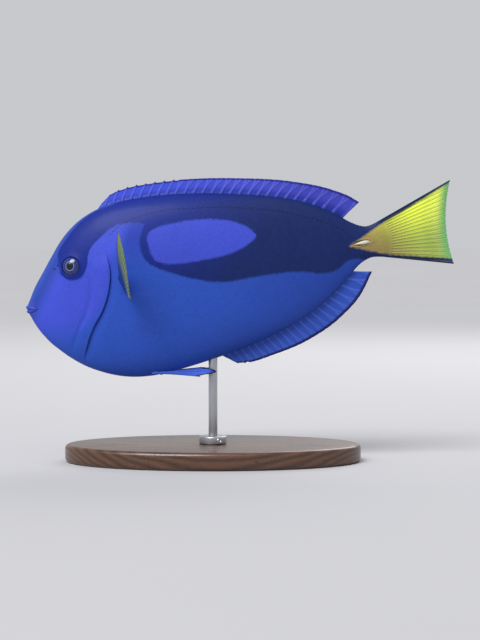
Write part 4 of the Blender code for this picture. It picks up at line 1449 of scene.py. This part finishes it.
def dorsal_colour(s, h, u, v):
    margin = above(v, *DORSAL_MARGIN_OUT)
    bright = paint(DORSAL_BLUE, DORSAL_REAR_BLUE, above(u, *DORSAL_REAR_ALONG))
    colour = paint(LOOP_FRONT_BLUE, bright, above(v, *DORSAL_FOOT_OUT))
    return paint(colour, DORSAL_MARGIN_BLUE, margin), margin


def anal_colour(s, h, u, v):
    margin = above(v, *ANAL_MARGIN_OUT)
    return paint(ANAL_BLUE, ANAL_MARGIN_BLUE, margin), margin


def tail_colour(s, h, u, v):
    wedge = markings(s, h)[2]
    yellow = paint(wedge_yellow(s, h), TAIL_TIP_GREEN, above(v, *TAIL_GREEN_OUT))
    return paint(TAIL_EDGE, yellow, wedge), 1 - wedge


def pectoral_colour(s, h, u, v):
    leading = below(u, *PECTORAL_LEADING)
    colour = paint(PECTORAL_BLUE, PECTORAL_YELLOW, above(v, *PECTORAL_YELLOW_OUT))
    colour = paint(colour, PECTORAL_EDGE, above(v, *PECTORAL_EDGE_OUT) * PECTORAL_EDGE_SHARE)
    return paint(colour, TAIL_EDGE, leading), leading


def pelvic_colour(s, h, u, v):
    margin = above(v, *PELVIC_MARGIN_OUT)
    return paint(BELLY_BLUE, ANAL_MARGIN_BLUE, margin), margin


dress(fin_finish("dorsal_membrane", *DORSAL_RAYS, dorsal_colour), dorsal)
dress(fin_finish("anal_membrane", *ANAL_RAYS, anal_colour), anal)
dress(fin_finish("tail_membrane", *TAIL_RAYS, tail_colour, TAIL_CLEAR), tail)
dress(fin_finish("pectoral_membrane", *PECTORAL_RAYS, pectoral_colour, PECTORAL_CLEAR), *pectorals)
dress(fin_finish("pelvic_membrane", *PELVIC_RAYS, pelvic_colour), *pelvics)
print("five fin finishes, the tail's with", len(tail.active_material.node_tree.nodes), "nodes")

# %% [markdown]
# A display model has glass eyes. The painted iris shows under a clear, wet dome, so the material is a
# plain drawing of rings with a full clear coat: a black pupil, a thin pale ring round it, and a dark
# blue iris with streaks that run outwards.

# %% Glass eyes
PUPIL = 2.1 * MM
PUPIL_SOFTNESS = 0.10 * MM
RING_WIDTH = 0.15 * MM
RING_SOFTNESS = 0.22 * MM
RING_LEAST = 0.45
RING_STREAKS = 0.4
STREAK_BORDER = (0.5, 0.35)
IRIS_RIM = 4.3 * MM
IRIS_FADE = 1.2 * MM
PUPIL_TALL = 0.94
STREAK_SIZE = 0.05
IRIS_BLUE = srgb(34, 54, 146)
IRIS_DARK = srgb(10, 14, 40)
RING_PALE = srgb(150, 176, 226)
BLACK = srgb(2, 2, 4)

eye_finish, start, sockets = new_finish("glass_eye", {
    "Roughness": 0.3, "Coat Weight": 1.0, "Coat Roughness": 0.02, "Specular IOR Level": 0.05,
})
flat = start.node("TexCoord", output="Object").stretched(1, PUPIL_TALL, 0)
radius = start.node("VectorMath", {"operation": "LENGTH"}, {0: flat}, output="Value")
heading = start.node("VectorMath", {"operation": "NORMALIZE"}, {0: flat})
streaks = above(noise(start, heading, STREAK_SIZE, 3), *STREAK_BORDER)
iris = paint(IRIS_DARK, IRIS_BLUE, streaks * below(radius, IRIS_RIM, IRIS_FADE))
ring = below(abs(radius - PUPIL), RING_WIDTH, RING_SOFTNESS) * (RING_LEAST + RING_STREAKS * streaks)
outside_pupil = above(radius, PUPIL - PUPIL_SOFTNESS, PUPIL_SOFTNESS)
feed(sockets, paint(BLACK, paint(iris, RING_PALE, ring), outside_pupil))
dress(eye_finish, *eyes.values())
print(f"a pupil of {2 * PUPIL / MM:.1f} mm in an eye of {2 * EYE_SEEN / MM:.1f} mm")

# %% [markdown]
# The folded spines are bare bone, polished by use, and a little blue where the grain lies open. A noise
# drawn out along the spine is the grain, and one wire of it serves colour, gloss and bump alike.

# %% Bone
BONE_WHITE = srgb(214, 208, 176)
BONE_BLUE = srgb(140, 156, 190)
BONE_GRAIN = 0.25 * MM
BONE_STRETCH = (0.2, 1, 1)
BONE_STAIN = 0.6
BONE_ROUGHNESS = 0.25
BONE_WEAR = 0.2
BONE_RISE = 0.02 * MM

bone_finish, start, sockets = new_finish("polished_bone", {"Coat Weight": 0.3, "Coat Roughness": 0.15})
grain = noise(start, start.node("TexCoord", output="Object").stretched(*BONE_STRETCH), BONE_GRAIN)
colour = paint(BONE_WHITE, BONE_BLUE, grain * BONE_STAIN)
feed(sockets, colour, BONE_ROUGHNESS + grain * BONE_WEAR, grain, rise=BONE_RISE, strength=0.4)
dress(bone_finish, *spines)
print("bone on", ", ".join(spine.name for spine in spines))

# %% [markdown]
# The foot is dark wood under satin varnish. Real grain is a block of growth rings cut by the shape, so
# the rings are drawn round a line that runs lengthways under the foot, and pulled about by noise
# that is stretched along it. Fine fibres and short dark pores lie over them.

# %% Wood
WOOD_DARK = srgb(44, 26, 16)
WOOD_LIGHT = srgb(98, 62, 38)
WOOD_PORE = srgb(22, 12, 8)
GROWTH_RING = 2.6 * MM
HEART_BELOW = 30 * MM
RING_SWAY = 14 * MM
SWAY_SIZE = 22 * MM
FIBRE_SIZE = 0.35 * MM
PORE_SIZE = 0.5 * MM
PORE_SHARE = (0.68, 0.06)
WOOD_PORE_SHADE = 0.7
LEAN_OF_THE_HEART = 0.05
RING_TONE = 0.28
FIBRE_TONE = 0.9
TONE_BORDER = (0.5, 1.3)
SWAY_STRETCH = (0.10, 1, 1)
FIBRE_STRETCH = (0.04, 1, 1)
PORE_STRETCH = (0.09, 1, 1)
WOOD_ROUGHNESS = 0.28
FIBRE_ROUGHNESS = 0.16
PORE_ROUGHNESS = 0.2
WOOD_RISE = 0.05 * MM

wood_finish, start, sockets = new_finish("dark_wood", {"Coat Weight": 0.35, "Coat Roughness": 0.18})
place = start.node("TexCoord", output="Object")
sway = noise(start, place.stretched(*SWAY_STRETCH), SWAY_SIZE) * RING_SWAY
x, y, z = start.node("SeparateXYZ", None, {"Vector": place}, output=("X", "Y", "Z"))
around = start.node("CombineXYZ", None, {"Y": y + sway, "Z": z + HEART_BELOW + x * LEAN_OF_THE_HEART})
from_heart = start.node("VectorMath", {"operation": "LENGTH"}, {0: around}, output="Value")
fibres = noise(start, place.stretched(*FIBRE_STRETCH), FIBRE_SIZE, 4)
pores = above(noise(start, place.stretched(*PORE_STRETCH), PORE_SIZE, 1), *PORE_SHARE)
tone = 0.5 + from_heart.waves(GROWTH_RING) * RING_TONE + (fibres - 0.5) * FIBRE_TONE
colour = paint(WOOD_DARK, WOOD_LIGHT, above(tone, *TONE_BORDER))
colour = paint(colour, WOOD_PORE, pores * WOOD_PORE_SHADE)
roughness = WOOD_ROUGHNESS + fibres * FIBRE_ROUGHNESS + pores * PORE_ROUGHNESS
feed(sockets, colour, roughness, fibres - pores, rise=WOOD_RISE, strength=0.35)
dress(wood_finish, wood)
print("the wood's growth rings are", GROWTH_RING / MM, "mm apart")

# %% [markdown]
# The steel is brushed: lengthways on the rod, and round and round on the collar, as a lathe leaves it.
# One recipe serves both, with its fine noise drawn out along the brushing.

# %% Steel
STEEL = srgb(196, 198, 202)
STEEL_WORN = srgb(150, 152, 158)
BRUSH_LINE = 0.12 * MM
BRUSH_SHADE = 0.5
BRUSH_RISE = 0.01 * MM
WEAR_SIZE = 6 * MM
WEAR_SHADE = 0.2
STEEL_ROUGHNESS = 0.22
LINE_ROUGHNESS = 0.22
DOWN_THE_ROD = (1, 1, 0.02)
ROUND_THE_COLLAR = (0.05, 0.05, 1)


def brushed(name, stretch):
    """Steel with fine lines drawn out along the axes whose stretch is small."""
    material, start, sockets = new_finish(name, {"Metallic": 1.0})
    place = start.node("TexCoord", output="Object")
    lines = noise(start, place.stretched(*stretch), BRUSH_LINE, 3)
    worn = lines * BRUSH_SHADE + noise(start, place, WEAR_SIZE) * WEAR_SHADE
    roughness = STEEL_ROUGHNESS + lines * LINE_ROUGHNESS
    feed(sockets, paint(STEEL, STEEL_WORN, worn), roughness, lines, rise=BRUSH_RISE, strength=0.3)
    return material


dress(brushed("steel_drawn", DOWN_THE_ROD), rod)
dress(brushed("steel_turned", ROUND_THE_COLLAR), collar, screw)
print("steel on", rod.name, collar.name, screw.name)

# %% [markdown]
# The model stands on a plain, pale floor, wide enough for its edge to stay out of sight. It is fully matt
# and made as bright as the sky behind it, so no hard horizon cuts the view.

# %% Floor
FLOOR_HALF = 30.0
FLOOR_PALE = srgb(184, 183, 185)
FLOOR_SHADE = srgb(177, 177, 180)
FLOOR_PATCH = 0.4
FLOOR_GRAIN = 0.03
FLOOR_ROUGHNESS = 0.7
FLOOR_WEAR = 0.1

floor_mesh = bpy.data.meshes.new("pale_floor")
corners = [(x * FLOOR_HALF, y * FLOOR_HALF, 0) for x, y in ((-1, -1), (1, -1), (1, 1), (-1, 1))]
floor_mesh.from_pydata(corners, [], [(0, 1, 2, 3)])
floor = bpy.data.objects.new("pale_floor", floor_mesh)
bpy.context.scene.collection.objects.link(floor)
floor_finish, start, sockets = new_finish("matt_floor", {"Specular IOR Level": 0.0})
place = start.node("TexCoord", output="Object")
floor_colour = paint(FLOOR_PALE, FLOOR_SHADE, noise(start, place, FLOOR_PATCH))
feed(sockets, floor_colour, FLOOR_ROUGHNESS + noise(start, place, FLOOR_GRAIN) * FLOOR_WEAR)
dress(floor_finish, floor)
print(f"a floor of {2 * FLOOR_HALF:.0f} m")

# %% [markdown]
# The light is that of a plain studio: an even, pale sky and a large soft light from the upper left. That
# one is a sun with a very wide disc, which lights the floor evenly as far as one can see and still gives
# soft shadows. Two softboxes give the gloss of the skin something to mirror, and draw the outline of
# the back.

# %% Lights and sky
SKY_PALE = srgb(246, 248, 252)
SKY_STRENGTH = 0.62
SUN_FROM = (-0.50, -0.90, 1.35)
SUN_STRENGTH = 2.7
SUN_WIDTH = math.radians(30)
FRONT_SOFTBOX_FROM = (-0.9, -0.9, 0.9)
FRONT_SOFTBOX_POWER = 3.0
FRONT_SOFTBOX_SIDE = 0.5
BACK_SOFTBOX_FROM = (0.4, 0.9, 0.8)
BACK_SOFTBOX_POWER = 5.0
BACK_SOFTBOX_SIDE = 0.7

middle = (cad_box[0] + cad_box[1]) / 2


def light(name, kind, place, power):
    """A light at a place, turned to the middle of the model."""
    lamp = bpy.data.lights.new(name, kind)
    lamp.energy = power
    holder = bpy.data.objects.new(name, lamp)
    holder.location = place
    holder.rotation_euler = (middle - Vector(place)).to_track_quat("-Z", "Y").to_euler()
    bpy.context.scene.collection.objects.link(holder)
    return lamp


light("key_sun", "SUN", SUN_FROM, SUN_STRENGTH).angle = SUN_WIDTH
light("front_softbox", "AREA", FRONT_SOFTBOX_FROM, FRONT_SOFTBOX_POWER).size = FRONT_SOFTBOX_SIDE
light("back_softbox", "AREA", BACK_SOFTBOX_FROM, BACK_SOFTBOX_POWER).size = BACK_SOFTBOX_SIDE

world = bpy.data.worlds.new("pale_sky")
bpy.context.scene.world = world
world.use_nodes = True
background = world.node_tree.nodes["Background"].inputs
background["Color"].default_value = SKY_PALE
background["Strength"].default_value = SKY_STRENGTH
bpy.context.scene.view_settings.view_transform = "Standard"
print("lights:", ", ".join(lamp.name for lamp in bpy.data.lights))

# %% [markdown]
# The photo sees the fish from its left and almost level. The camera stands there too, with a long
# lens so that nothing is drawn out of shape, close enough for fish and stand to fill the frame.

# %% Camera
CAMERA_RISE = math.radians(2.5)
CAMERA_AWAY = 0.90
FOCAL_LENGTH = 100

lens = bpy.data.cameras.new("photo_view")
lens.lens = FOCAL_LENGTH
lens.clip_start = 0.01
camera = bpy.data.objects.new("photo_view", lens)
camera.location = middle + CAMERA_AWAY * Vector((0, -math.cos(CAMERA_RISE), math.sin(CAMERA_RISE)))
camera.rotation_euler = (middle - camera.location).to_track_quat("-Z", "Y").to_euler()
bpy.context.scene.collection.objects.link(camera)
bpy.context.scene.camera = camera
print(f"the camera is {camera.location.z / MM:.0f} mm above the floor")

# %% [markdown]
# Last, every piece is tied to the frame. Nothing on this model moves, so all of them ride on the one
# body. Each says which solids it stands for, and which finish of the record it shows.

# %% Tie the pieces to the frame
stands_for = {
    skin: ("skin_blue", ["head", "trunk", "tail_stem"]),
    dorsal: ("fin_blue", ["dorsal_fin"]),
    anal: ("fin_blue", ["anal_fin"]),
    tail: ("fin_yellow", ["tail_fin"]),
    pectorals[0]: ("fin_yellow", ["pectoral_fin_left"]),
    pectorals[1]: ("fin_yellow", ["pectoral_fin_right"]),
    pelvics[0]: ("fin_blue", ["pelvic_fin_left"]),
    pelvics[1]: ("fin_blue", ["pelvic_fin_right"]),
    eyes["left"]: ("eye", ["eye_left"]),
    eyes["right"]: ("eye", ["eye_right"]),
    spines[0]: ("tail_spine", ["tail_spine_left"]),
    spines[1]: ("tail_spine", ["tail_spine_right"]),
    wood: ("wood", ["stand_base"]),
    collar: ("steel", ["stand_collar"]),
    screw: ("steel", []),
    rod: ("steel", ["stand_rod"]),
}
for piece, (slot, nodes) in stands_for.items():
    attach(piece, "root")
    if nodes:
        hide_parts(*nodes)
faces = sum(len(piece.data.polygons) for piece in stands_for)
print(f"{len(stands_for)} pieces with {faces} faces")
